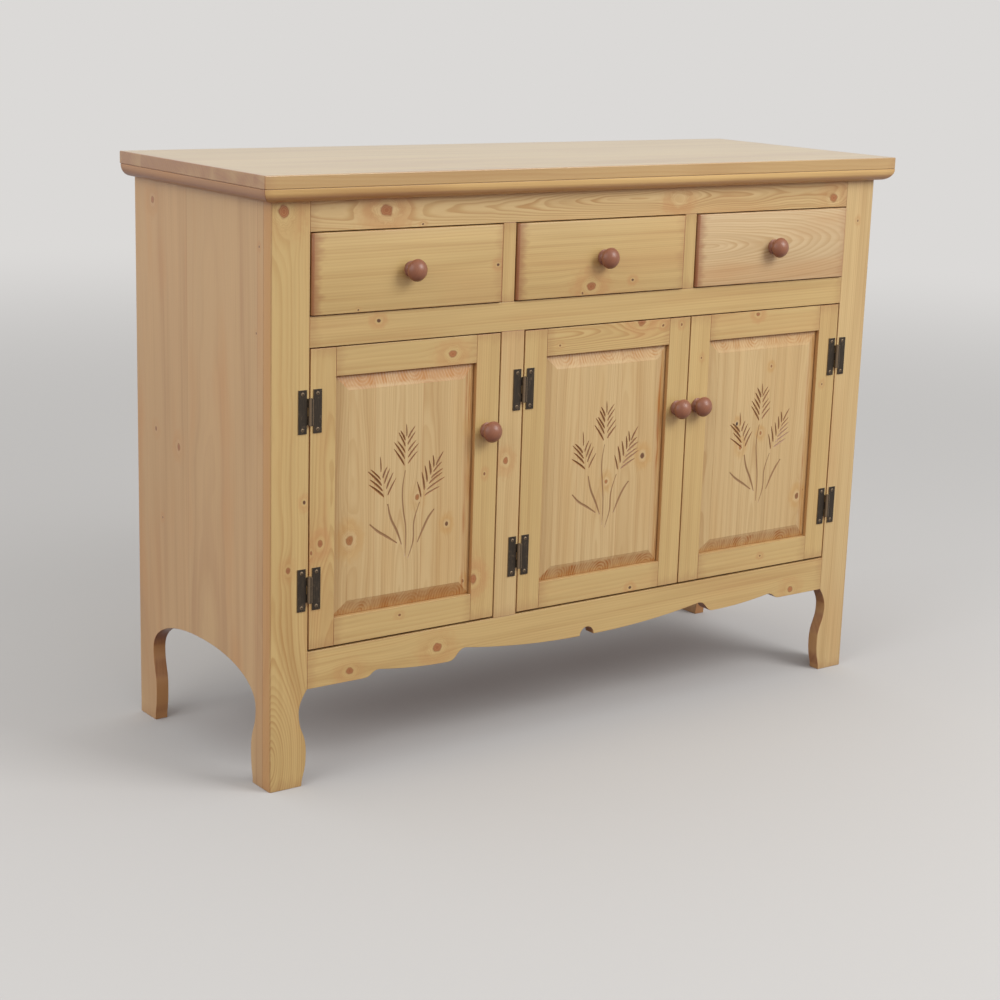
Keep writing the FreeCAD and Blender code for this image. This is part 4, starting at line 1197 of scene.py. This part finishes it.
class SIDEBOARD_OT_face_frame(bpy.types.Operator):
    """Make the face frame: stiles with shaped feet, rails, mullion, dividers and scalloped apron"""

    bl_idname = "sideboard.face_frame"
    bl_label = "Face frame and apron"

    def stile(self, sizes, feet):
        """The left stile with its shaped foot, its outer corner rounded."""

        def at(width, z):
            return Vector((width - sizes.half_body, sizes.face, z))

        full, bottom, top = sizes.half_body - sizes.half_opening, feet.apron_bottom, sizes.top_underside
        points = [at(0.0, 0.0), at(0.0, top), at(full, top), at(full, bottom)]
        shoulder = (
            (full, bottom), (full - feet.shoulder_width, bottom - feet.shoulder_drop),
            (feet.stile_neck, feet.neck_height + feet.shoulder_run), (feet.stile_neck, feet.neck_height),
        )
        shape = (feet.stile_neck, feet.stile_belly, feet.stile_floor, feet.neck_height, feet.belly_height)
        for curve in (shoulder, *swelling(*shape)):
            points += sweep([at(*pole) for pole in curve], 8)
        stile = trace_outline("left_face_stile", points, (0.0, sizes.frame_back - sizes.face, 0.0))
        round_edges(
            stile, sizes.corner_round, 4,
            lambda co: near(co.x, -sizes.half_body) and near(co.y, sizes.face),
        )
        return stile

    def apron(self, sizes, feet):
        """The apron: a notch in its middle, and a long and a short wave on either side."""

        def at(reach, rise):
            return Vector((reach, sizes.face, feet.apron_bottom + rise))

        waves = (
            (feet.notch, feet.long_wave, feet.long_rise, feet.long_step, 10, 8),
            (feet.long_step, feet.short_wave, feet.short_rise, feet.short_step, 8, 6),
        )
        half = [at(0.0, feet.notch)]
        half += [at(*point) for point in arc((0.0, 0.0), feet.notch, math.pi / 2, 0.0, 8)]
        for start, crest, rise, foot, wave_steps, fall_steps in waves:
            middle = (crest + foot) / 2
            half += sweep([at(start, 0.0), at((start + crest) / 2, 0.0), at(crest, rise)], wave_steps)
            half += sweep([at(crest, rise), at(middle, rise), at(middle, 0.0), at(foot, 0.0)], fall_steps)
        end, height = sizes.half_opening, sizes.door_bottom - feet.apron_bottom
        half.append(at(end, 0.0))
        mirrored = [Vector((-point.x, point.y, point.z)) for point in half[:0:-1]]
        points = mirrored + half + [at(end, height), at(-end, height)]
        return trace_outline("scalloped_apron", points, (0.0, sizes.frame_back - sizes.face, 0.0))

    def execute(self, context):
        sizes, feet = context.scene.sideboard_sizes, context.scene.feet_sizes
        tint = context.scene.finish_colours
        near_side, far_side, opening = sizes.face, sizes.frame_back, sizes.half_opening
        left = self.stile(sizes, feet)
        right = copy_of(left, "right_face_stile", mirror=ACROSS)
        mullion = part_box("mullion")
        boards = [
            (left, "face_stile_left", UP, "foot"),
            (right, "face_stile_right", UP, "straight"),
            (self.apron(sizes, feet), "apron", ACROSS, "straight"),
        ]
        spans = (
            ("upper_rail", "top_rail", -opening, opening, sizes.drawer_top, sizes.top_underside,
             ACROSS, "cathedral"),
            ("middle_rail_board", "middle_rail", -opening, opening, sizes.door_top, sizes.drawer_bottom,
             ACROSS, "straight"),
            ("front_mullion", "mullion", mullion[0].x, mullion[1].x, sizes.door_bottom, sizes.door_top,
             UP, "straight"),
        )
        for name, node, x_low, x_high, low, high, grain, cut in spans:
            board = add_board(name, (x_low, near_side, low), (x_high, far_side, high))
            boards.append((board, node, grain, cut))
        low_corner = (sizes.divider_offset - sizes.divider_width / 2, near_side, sizes.drawer_bottom)
        high_corner = (sizes.divider_offset + sizes.divider_width / 2, far_side, sizes.drawer_top)
        right_divider = add_board("right_divider", low_corner, high_corner)
        left_divider = copy_of(right_divider, "left_divider", (-2 * sizes.divider_offset, 0.0, 0.0))
        boards += [(piece, "drawer_dividers", UP, "fine") for piece in (left_divider, right_divider)]
        for piece, node, grain, cut in boards:
            ease(piece, sizes.arris)
            changes = {"Edge_face": 0.75} if "stile" in piece.name else {}
            # the upper rail, the right stile and the mullion take the paler colour, partly as painted sheen
            if node in ("top_rail", "face_stile_right", "mullion"):
                changes["Early"] = tint.rail
            knots = KNOTS.get(piece.name, ())
            lumber = pine(f"Pine of {piece.name}", *corners_of(piece), grain, DEEP, cut, knots, **changes)
            finish(piece, "cabinet", node, lumber)
        return {"FINISHED"}


class SIDEBOARD_OT_door_frames(bpy.types.Operator):
    """Make the stiles and rails of the three doors, grooved for the panels, the rails with stub tongues"""

    bl_idname = "sideboard.door_frames"
    bl_label = "Door frames"

    def groove(self, piece, doors, face, side, axis, depth):
        """Push the middle strip of one edge of a board in, or pull it out into a tongue."""
        front = face + doors.groove_setback
        for y in (front, front + doors.groove_width):
            work_on(piece, "FACE")
            choose_faces(piece, lambda middle, normal: normal[axis] * side > 0.9)
            bpy.ops.mesh.bisect(plane_co=(0.0, y, 0.0), plane_no=(0.0, 1.0, 0.0))
            put_down()
        work_on(piece, "FACE")
        centre = front + doors.groove_width / 2
        choose_faces(piece, lambda middle, normal: normal[axis] * side > 0.9 and near(middle.y, centre))
        move = [0.0, 0.0, 0.0]
        move[axis] = side * depth
        bpy.ops.mesh.extrude_region_move(TRANSFORM_OT_translate={"value": move})
        close_up()

    def execute(self, context):
        sizes, doors = context.scene.sideboard_sizes, context.scene.door_sizes
        for door in DOORS:
            low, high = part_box(f"{door}_stiles")
            face, back, width = sizes.face, sizes.frame_back, doors.frame_width
            uses = ("lock", "hinge") if door == "right_door" else ("hinge", "lock")
            for use, x, inner in ((uses[0], low.x, 1), (uses[1], high.x - width, -1)):
                corners = (Vector((x, face, low.z)), Vector((x + width, back, high.z)))
                stile = add_board(f"{door}_{use}_stile", *corners)
                self.groove(stile, doors, face, inner, ACROSS, -doors.groove_depth)
                ease(stile, sizes.arris)
                cut = "swirl" if stile.name == "left_door_hinge_stile" else "straight"
                knots = KNOTS.get(stile.name, ())
                lumber = pine(f"Pine of {stile.name}", *corners, UP, DEEP, cut, knots, Edge_face=0.75)
                finish(stile, door, f"{door}_stiles", lumber)
            for use, z, inner in (("upper", high.z - width, -1), ("lower", low.z, 1)):
                corners = (Vector((low.x + width, face, z)), Vector((high.x - width, back, z + width)))
                rail = add_board(f"{door}_{use}_rail", *corners)
                self.groove(rail, doors, face, inner, UP, -doors.groove_depth)
                for side in (-1, 1):
                    self.groove(rail, doors, face, side, ACROSS, doors.groove_depth)
                ease(rail, sizes.arris)
                cut = "slash" if rail.name == "middle_door_upper_rail" else "faint"
                lumber = pine(f"Pine of {rail.name}", *corners, ACROSS, DEEP, cut, KNOTS.get(rail.name, ()))
                finish(rail, door, f"{door}_rails", lumber)
        return {"FINISHED"}


class SIDEBOARD_OT_panels(bpy.types.Operator):
    """Field the three door panels and carve a sprig of wheat in each"""

    bl_idname = "sideboard.panels"
    bl_label = "Carved panels"

    def gouge(self):
        """The shape that one push of the gouge takes out: pointed, and fullest near its foot."""
        bpy.ops.object.select_all(action="DESELECT")
        bpy.ops.mesh.primitive_uv_sphere_add(segments=4, ring_count=8, radius=0.5, location=(0.0, 0.0, 0.0))
        gouge = name_piece("gouge")
        bow, towards_foot = 0.25, 0.16  # how far its middle is pushed, of its width and of its length
        heights = sorted({round(corner.co.z, 4) for corner in gouge.data.vertices})
        for height in heights[1:-1]:
            work_on(gouge, "VERT")
            choose_corners(gouge, lambda co: abs(co.z - height) < 0.001)
            fall = 1.0 - 4.0 * height * height
            bpy.ops.transform.translate(value=(-bow * fall, 0.0, -towards_foot * fall))
            put_down()
        return gouge

    def stroke(self, gouge, foot, lean, length, width, depth):
        """One copy of the gouge cut, set on the field."""
        cut = gouge.copy()
        cut.data = gouge.data.copy()
        bpy.context.collection.objects.link(cut)
        turn = Matrix.Rotation(math.radians(lean), 4, "Y")
        bow = -1.0 if lean < 0 else 1.0
        size = Matrix.Diagonal((width * bow, 2 * depth, length, 1.0))
        middle = Vector(foot) + turn @ Vector((0.0, 0.0, length / 2))
        cut.matrix_world = Matrix.Translation(middle) @ turn @ size
        return cut

    def long_cut(self, points, width):
        """One long cut along a curve, thin at both ends."""
        bpy.ops.object.select_all(action="DESELECT")
        bpy.ops.curve.primitive_bezier_curve_add()
        line = bpy.context.object
        line.location = (0.0, 0.0, 0.0)
        curve = line.data
        curve.bevel_depth = width / 2
        curve.bevel_resolution = 0
        curve.resolution_u = 5
        curve.use_fill_caps = True
        spline = curve.splines[0]
        spline.bezier_points.add(len(points) - 2)
        thin, end = 0.25, 0.12  # share of the width that is always left, and how blunt the ends are
        for index, (point, place) in enumerate(zip(spline.bezier_points, points)):
            point.co = place
            point.handle_left_type = point.handle_right_type = "AUTO"
            along = end + (1 - 2 * end) * index / (len(points) - 1)
            point.radius = thin + (1 - thin) * math.sin(math.pi * along)
        bpy.ops.object.convert(target="MESH")
        return bpy.context.object

    def sprig(self, centre, doors, seed):
        """All the cuts of one sprig, as one cutter."""
        hand = random.Random(seed)
        gouge = self.gouge()

        def spot(x, z, slip=0.5):
            """A place on the field, as near as a hand hits it."""
            x, z = x + hand.uniform(-slip, slip), z + hand.uniform(-slip, slip)
            return centre + Vector((mm(x), 0.0, mm(z)))

        # grains stand 2 to 3 mm off the stalk, those on the right a little higher and slimmer, and the
        # hand makes each a little wider or narrower, longer, and more or less upright
        cuts = []
        for foot, top, left, right, beard in EARS:
            for grains, side, lift, fullness in ((left, -1, 0.0, 1.0), (right, 1, 1.6, 0.92)):
                for index, (length, lean) in enumerate(grains):
                    share = index / (len(grains) - 1)
                    x = foot[0] + (top[0] - foot[0]) * share + side * (3.0 - share)
                    z = foot[1] + (top[1] - foot[1]) * share + lift
                    width = doors.stroke_width * fullness * hand.uniform(0.85, 1.15)
                    reach = mm(length * hand.uniform(1.1, 1.24))
                    turn = lean + hand.uniform(-2.5, 2.5)
                    depth = doors.stroke_depth * width
                    cuts.append(self.stroke(gouge, spot(x, z), turn, reach, width, depth))
            if beard:
                start, end = Vector(beard[:2]), Vector(beard[2:])
                lean = math.degrees(math.atan2(end.x - start.x, end.y - start.y))
                width, reach = doors.beard_width, mm((end - start).length)
                depth = doors.beard_depth * width
                cuts.append(self.stroke(gouge, spot(*start, 0.7), lean, reach, width, depth))
        for lines, width in ((STEMS, doors.stem_width), (LEAVES, doors.leaf_width)):
            for line in lines:
                cuts.append(self.long_cut([spot(*point) for point in line], width))
        bpy.data.objects.remove(gouge)
        sprig = join(cuts)
        work_on(sprig, "FACE")
        close_up(mm(0.001))
        return sprig

    def execute(self, context):
        sizes, doors = context.scene.sideboard_sizes, context.scene.door_sizes
        frame_in = doors.tongue + doors.bevel_width
        for door, seed, top_stain in PANELS:
            node = f"{door}_panel"
            low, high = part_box(node)
            tongue_front = sizes.face + doors.groove_setback
            panel = add_board(f"{door}_carved_panel", (low.x, tongue_front, low.z), high)
            work_on(panel, "FACE")
            choose_faces(panel, lambda middle, normal: normal.y < -0.9)
            bpy.ops.mesh.inset(thickness=doors.tongue, depth=0.0)
            slopes = ((doors.bevel_width, doors.bevel_rise), (doors.step_width, doors.field_step))
            for width, rise in slopes:
                bpy.ops.mesh.inset(thickness=width, depth=0.0)
                bpy.ops.transform.translate(value=(0.0, -rise, 0.0))
            put_down()
            field_low = Vector((low.x + frame_in, low.y, low.z + frame_in))
            field_high = Vector((high.x - frame_in, low.y, high.z - frame_in))
            carve(panel, self.sprig((field_low + field_high) / 2, doors, seed))
            lumber = carved_pine(f"Pine of {node}", low, high, KNOTS.get(node, ()), doors, top_stain)
            finish(panel, door, node, lumber)
        return {"FINISHED"}


class SIDEBOARD_OT_drawer_fronts(bpy.types.Operator):
    """Make the three drawer fronts with rounded ends and eased edges"""

    bl_idname = "sideboard.drawer_fronts"
    bl_label = "Drawer fronts"

    end_round: length_of("End round", "Rounding of the two upright front edges", 3.5)
    edge_round: length_of("Edge round", "Rounding of the two long front edges", 1.2)

    def execute(self, context):
        tint = context.scene.finish_colours
        first, start = None, None
        for drawer, cut in zip(DRAWERS, ("straight", "fine", "arrow")):
            node, name = f"{drawer}_front", f"{drawer}_face"
            low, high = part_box(node)
            if first is None:
                piece = first = add_board(name, low, high)
                start, front = low, low.y
                for end in (low.x, high.x):
                    round_edges(first, self.end_round, 5, lambda co: near(co.x, end) and near(co.y, front))
                rounded = front + self.end_round + mm(0.1)
                for edge in (low.z, high.z):
                    round_edges(first, self.edge_round, 3, lambda co: near(co.z, edge) and co.y < rounded)
                ease(first, context.scene.sideboard_sizes.arris)
            else:
                piece = copy_of(first, name, low - start)
            # the right drawer's paler colour is partly painted sheen
            lumber = pine(
                f"Pine of {node}", low, high, ACROSS, DEEP, cut, KNOTS.get(node, ()),
                Early=tint.pale if drawer == "right_drawer" else tint.early, Soak_start=0.7, Soak_end=0.25,
            )
            finish(piece, drawer, node, lumber)
        return {"FINISHED"}


class SIDEBOARD_OT_knobs(bpy.types.Operator):
    """Turn one knob, and set a copy on each door and drawer"""

    bl_idname = "sideboard.knobs"
    bl_label = "Turned knobs"

    def profile(self, knob):
        """Radius and reach of the knob from its foot to its tip."""
        cove_width = knob.base_radius - knob.neck_radius
        cove_height = knob.neck_height - knob.base_height
        cove = (cove_width**2 + cove_height**2) / 2 / cove_width
        cove_turn = math.asin(cove_height / cove)
        rim_centre = knob.head_radius - knob.rim_radius
        flare = rim_centre - knob.neck_radius
        rim_height = knob.neck_height + flare + knob.rim_radius
        crown = knob.reach - rim_height
        dome = (rim_centre**2 + crown**2 - knob.rim_radius**2) / 2 / (crown - knob.rim_radius)
        brow = math.atan2(rim_height - knob.reach + dome, rim_centre)
        points = [(0.0, 0.0), (knob.base_radius, 0.0), (knob.base_radius, knob.base_height)]
        turn = math.pi + cove_turn
        points += arc((knob.neck_radius + cove, knob.neck_height), cove, turn, math.pi, 6)
        points += arc((rim_centre, knob.neck_height), flare, math.pi, math.pi / 2, 6)
        points += arc((rim_centre, rim_height), knob.rim_radius, -math.pi / 2, brow, 9)
        return points + arc((0.0, knob.reach - dome), dome, brow, math.pi / 2, 10)

    def execute(self, context):
        sizes, knob = context.scene.sideboard_sizes, context.scene.knob_sizes
        pattern = lathe("pattern_knob", self.profile(knob), 48)
        round_edges(
            pattern, knob.foot_arris, 2,
            lambda co: near(co.y, 0.0) and math.hypot(co.x, co.z) > knob.neck_radius,
        )
        pick(pattern)
        bpy.ops.object.shade_smooth_by_angle(angle=math.radians(40))
        places = []
        for door in DOORS:
            low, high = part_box(f"{door}_stiles")
            x = low.x + knob.door_inset if door == "right_door" else high.x - knob.door_inset
            places.append((door, Vector((x, sizes.face, knob.door_height))))
        for drawer in DRAWERS:
            low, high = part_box(f"{drawer}_front")
            places.append((drawer, Vector(((low.x + high.x) / 2, low.y, (low.z + high.z) / 2))))
        for body, centre in places:
            piece = copy_of(pattern, f"{body}_turned_knob", centre)
            wood = turned_wood(f"Turned wood of {body}", centre)
            finish(piece, body, f"{body}_knob", wood)
        bpy.data.objects.remove(pattern)
        return {"FINISHED"}


class SIDEBOARD_OT_hinges(bpy.types.Operator):
    """Make one surface hinge, and set a copy of each part at the six places"""

    bl_idname = "sideboard.hinges"
    bl_label = "Surface hinges"

    def barrel(self, name, radius, low, high):
        """A round bar standing on the pin's line."""
        bpy.ops.object.select_all(action="DESELECT")
        middle = (0.0, 0.0, (low + high) / 2)
        bpy.ops.mesh.primitive_cylinder_add(vertices=20, radius=radius, depth=high - low, location=middle)
        return name_piece(name)

    def leaf(self, name, hinge, face, side, levels):
        """A leaf round a pin at the origin: strap, bridge and knuckles, bored for the pin."""
        half_strap, half_barrel = hinge.strap_height / 2, 1.5 * hinge.knuckle
        outer, front = hinge.strap_edge + hinge.strap_width, face - hinge.thickness
        leaf = add_board(name, (hinge.strap_edge, front, -half_strap), (outer, face, half_strap))
        for height, normal in ((half_barrel, 1.0), (-half_barrel, -1.0)):
            saw(leaf, (0.0, 0.0, height), (0.0, 0.0, normal), keep_all=True)
        work_on(leaf, "FACE")
        choose_faces(leaf, lambda middle, normal: normal.x < -0.9 and abs(middle.z) < half_barrel)
        bridge = (hinge.bridge_edge - hinge.strap_edge, 0.0, 0.0)
        bpy.ops.mesh.extrude_region_move(TRANSFORM_OT_translate={"value": bridge})
        put_down()
        parts = [leaf]
        web_start, web_end = mm(0.4), hinge.strap_edge + mm(1.0)
        for level in levels:
            low = -half_barrel + level * hinge.knuckle + hinge.play
            high = low + hinge.knuckle - 2 * hinge.play
            parts.append(self.barrel("knuckle", hinge.knuckle_radius, low, high))
            parts.append(add_board("web", (web_start, front, low), (web_end, face, high)))
        leaf = join(parts)
        carve(leaf, self.barrel("bore", hinge.pin_radius + hinge.play, -half_strap, half_strap))
        ease(leaf, hinge.arris)
        if side < 0:
            turned = copy_of(leaf, f"{name}_turned", turn=DEEP)
            bpy.data.objects.remove(leaf)
            return turned
        return leaf

    def pin(self, hinge):
        """The pin with its two flat heads."""
        half, grow = 1.5 * hinge.knuckle, hinge.pin_head / hinge.pin_radius
        pin = self.barrel("pattern_pin", hinge.pin_radius, -half, half)
        for side in (-1, 1):
            work_on(pin, "FACE")
            choose_faces(pin, lambda middle, normal: near(middle.z, side * half))
            bpy.ops.mesh.extrude_region_move(TRANSFORM_OT_translate={"value": (0.0, 0.0, 0.0)})
            bpy.ops.transform.resize(value=(grow, grow, 1.0))
            rise = (0.0, 0.0, side * hinge.head_height)
            bpy.ops.mesh.extrude_region_move(TRANSFORM_OT_translate={"value": rise})
            put_down()
        ease(pin, hinge.arris)
        return pin

    def screw(self, hinge):
        """A round screw head with a crossed recess, its seat at the origin."""
        radius, height = hinge.screw_radius, hinge.screw_height
        dome = (radius**2 + height**2) / 2 / height
        half_angle = math.asin(radius / dome)
        curve = arc((0.0, height - dome), dome, math.pi / 2 - half_angle, math.pi / 2, 6)
        head = lathe("pattern_screw", [(0.0, 0.0), (radius, 0.0), *curve], 24)
        long, thin, deep = hinge.cross_reach, hinge.cross_width, hinge.cross_depth
        for wide, tall in ((long, thin), (thin, long)):
            cut_box(head, (-wide, -2 * height, -tall), (wide, deep - height, tall))
        pick(head)
        bpy.ops.object.shade_smooth_by_angle(angle=math.radians(30))
        return head

    def execute(self, context):
        sizes, hinge = context.scene.sideboard_sizes, context.scene.hinge_sizes
        bronze = dark_bronze()
        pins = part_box("hinge_pins")
        pin_line = (pins[0].y + pins[1].y) / 2
        face = sizes.face - pin_line
        outer_leaf = self.leaf("pattern_frame_leaf", hinge, face, -1, (0, 2))
        inner_leaf = self.leaf("pattern_door_leaf", hinge, face, 1, (1,))
        pin, screw = self.pin(hinge), self.screw(hinge)
        strap, reach = hinge.strap_edge + hinge.strap_width / 2, hinge.strap_edge + hinge.strap_width
        drop = hinge.strap_height / 2 - hinge.screw_inset
        for door in DOORS:
            low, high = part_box(f"{door}_hinge_leaves")
            x, side, turn = high.x - reach, 1, None
            if door == "right_door":
                x, side, turn = low.x + reach, -1, DEEP
            for use, z in (("upper", hinge.upper), ("lower", hinge.lower)):
                place = Vector((x, pin_line, z))
                label = f"{door}_{use}"
                parts = (
                    (outer_leaf, f"{label}_frame_leaf", "cabinet", "hinge_frame_leaves", turn),
                    (inner_leaf, f"{label}_door_leaf", door, f"{door}_hinge_leaves", turn),
                    (pin, f"{label}_pin", "cabinet", "hinge_pins", None),
                )
                for pattern, name, body, node, over in parts:
                    finish(copy_of(pattern, name, place, turn=over), body, node, bronze)
                for leaf, away, body, node in (
                    ("frame", -side, "cabinet", "hinge_frame_screws"),
                    ("door", side, door, f"{door}_hinge_screws"),
                ):
                    for level, height in (("top", drop), ("foot", -drop)):
                        seat = Vector((x + away * strap, sizes.face - hinge.thickness, z + height))
                        piece = copy_of(screw, f"{label}_{leaf}_{level}_screw", seat)
                        finish(piece, body, node, bronze)
        for pattern in (outer_leaf, inner_leaf, pin, screw):
            bpy.data.objects.remove(pattern)
        return {"FINISHED"}


class SIDEBOARD_OT_inside(bpy.types.Operator):
    """Give the parts inside their finish: bare pine, thin board, steel and plastic"""

    bl_idname = "sideboard.inside"
    bl_label = "Inside"

    def execute(self, context):
        bare = [
            ("bottom_board", ACROSS, UP), ("partition", UP, ACROSS), ("back_rails", ACROSS, DEEP),
            ("shelf_left", ACROSS, UP), ("shelf_right", ACROSS, UP),
            ("drawer_runners", DEEP, UP), ("drawer_kickers", DEEP, UP),
        ]
        thin = [("back_panel", UP, DEEP)]
        for drawer in DRAWERS:
            bare += [(f"{drawer}_sides", DEEP, ACROSS), (f"{drawer}_back", ACROSS, DEEP)]
            thin.append((f"{drawer}_bottom", ACROSS, UP))
        looks = [
            (node, unfinished(f"Bare pine of {node}", node, grain, face, "inside"))
            for node, grain, face in bare
        ]
        veneer = {"Ring": mm(16.0), "Wave": mm(40.0)}
        looks += [
            (node, unfinished(f"Thin board of {node}", node, grain, face, "whole", **veneer))
            for node, grain, face in thin
        ]
        steel, plastic = bright_steel(), catch_plastic()
        looks += [("shelf_pins", steel), ("magnetic_catches", plastic)]
        looks += [(f"{door}_strike_plate", steel) for door in DOORS]
        for node, look in looks:
            dress(bpy.data.objects[node], look)
        return {"FINISHED"}


class SIDEBOARD_OT_stage(bpy.types.Operator):
    """Set the plain floor, the soft light and the camera"""

    bl_idname = "sideboard.stage"
    bl_label = "Stage"

    def lamp(self, name, place, size, power, aim):
        """A broad lamp that shines from a place on the middle of the sideboard."""
        bpy.ops.object.light_add(type="AREA", location=place)
        lamp = bpy.context.object
        lamp.name = name
        lamp.data.size = size
        lamp.data.energy = power
        lamp.rotation_euler = (Vector((0.0, 0.0, aim)) - Vector(place)).to_track_quat("-Z", "Y").to_euler()

    def seen(self, w):
        """Whether a spot is looked at, rather than only lit."""
        rays = w.add("ShaderNodeLightPath").outputs
        return w.larger(rays["Is Camera Ray"], rays["Is Glossy Ray"], rays["Is Transmission Ray"])

    def lay_floor(self, stage):
        """A plain floor that passes into the background far off."""
        bpy.ops.object.select_all(action="DESELECT")
        bpy.ops.mesh.primitive_plane_add(size=60.0, location=(0.0, 0.0, 0.0))
        floor = name_piece("floor")
        material, w, shader = new_finish("Plain floor")
        seen = self.seen(w)
        w.feed(shader.inputs["Base Color"], w.mix(seen, stage.floor_glow, stage.floor))
        w.feed(shader.inputs["Roughness"], 1.0)
        w.feed(shader.inputs["Specular IOR Level"], 0.0)
        far = w.times(w.ramp(w.vector("LENGTH", w.place()), 1.6, 6.0), seen)
        plain = w.result("ShaderNodeEmission", (stage.distance,))
        blend = w.result("ShaderNodeMixShader", (far, shader.outputs["BSDF"], plain))
        w.feed(material.node_tree.nodes["Material Output"].inputs["Surface"], blend)
        dress(floor, material)

    def light_the_room(self, stage):
        """Even light from all round, and a plain background where it is looked at."""
        world = bpy.data.worlds.new("Soft light")
        world.use_nodes = True
        world.node_tree.nodes.clear()
        w = Wiring(world.node_tree)
        even = w.result("ShaderNodeBackground", ((1.0, 1.0, 1.0, 1.0), stage.sky))
        plain = w.result("ShaderNodeBackground", (stage.distance,))
        blend = w.result("ShaderNodeMixShader", (self.seen(w), even, plain))
        w.feed(w.add("ShaderNodeOutputWorld").inputs["Surface"], blend)
        return world

    def execute(self, context):
        stage = context.scene.stage_settings
        self.lay_floor(stage)
        context.scene.world = self.light_the_room(stage)
        self.lamp("main lamp", (1.5, -2.6, 2.6), 1.8, stage.key, stage.aim)
        self.lamp("side lamp", (-3.0, -0.6, 2.0), 2.4, stage.fill, stage.aim)
        bpy.ops.object.camera_add(location=stage.camera_place)
        camera = bpy.context.object
        camera.name = "camera"
        camera.rotation_euler = stage.camera_turn
        camera.data.sensor_width = 36.0
        camera.data.lens = stage.lens
        camera.data.clip_end = 200.0
        context.scene.camera = camera
        context.scene.view_settings.view_transform = "Standard"
        return {"FINISHED"}


PIECES = (
    SIDEBOARD_OT_top,
    SIDEBOARD_OT_sides,
    SIDEBOARD_OT_face_frame,
    SIDEBOARD_OT_door_frames,
    SIDEBOARD_OT_panels,
    SIDEBOARD_OT_drawer_fronts,
    SIDEBOARD_OT_knobs,
    SIDEBOARD_OT_hinges,
    SIDEBOARD_OT_inside,
    SIDEBOARD_OT_stage,
)
SETTINGS = {
    "sideboard_sizes": SideboardSizes,
    "feet_sizes": FeetSizes,
    "moulding_sizes": MouldingSizes,
    "door_sizes": DoorSizes,
    "knob_sizes": KnobSizes,
    "hinge_sizes": HingeSizes,
    "finish_colours": FinishColours,
    "stage_settings": StageSettings,
}


class SIDEBOARD_PT_pieces(bpy.types.Panel):
    """The pieces of the sideboard, in the order in which they are built"""

    bl_label = "Sideboard"
    bl_idname = "SIDEBOARD_PT_pieces"
    bl_space_type = "VIEW_3D"
    bl_region_type = "UI"
    bl_category = "Sideboard"

    def draw(self, context):
        for piece in PIECES:
            self.layout.operator(piece.bl_idname)


def register():
    """Make the settings, the pieces and the panel known."""
    for group in SETTINGS.values():
        bpy.utils.register_class(group)
    for piece in PIECES:
        bpy.utils.register_class(piece)
    bpy.utils.register_class(SIDEBOARD_PT_pieces)
    for name, group in SETTINGS.items():
        setattr(bpy.types.Scene, name, PointerProperty(type=group))


def unregister():
    """Take the settings, the pieces and the panel away again."""
    for name in SETTINGS:
        delattr(bpy.types.Scene, name)
    bpy.utils.unregister_class(SIDEBOARD_PT_pieces)
    for piece in reversed(PIECES):
        bpy.utils.unregister_class(piece)
    for group in reversed(SETTINGS.values()):
        bpy.utils.unregister_class(group)


def main():
    """Build all pieces in order."""
    register()
    bpy.ops.sideboard.top()
    bpy.ops.sideboard.sides()
    bpy.ops.sideboard.face_frame()
    bpy.ops.sideboard.door_frames()
    bpy.ops.sideboard.panels()
    bpy.ops.sideboard.drawer_fronts()
    bpy.ops.sideboard.knobs()
    bpy.ops.sideboard.hinges()
    bpy.ops.sideboard.inside()
    bpy.ops.sideboard.stage()


if __name__ == "__main__":
    main()
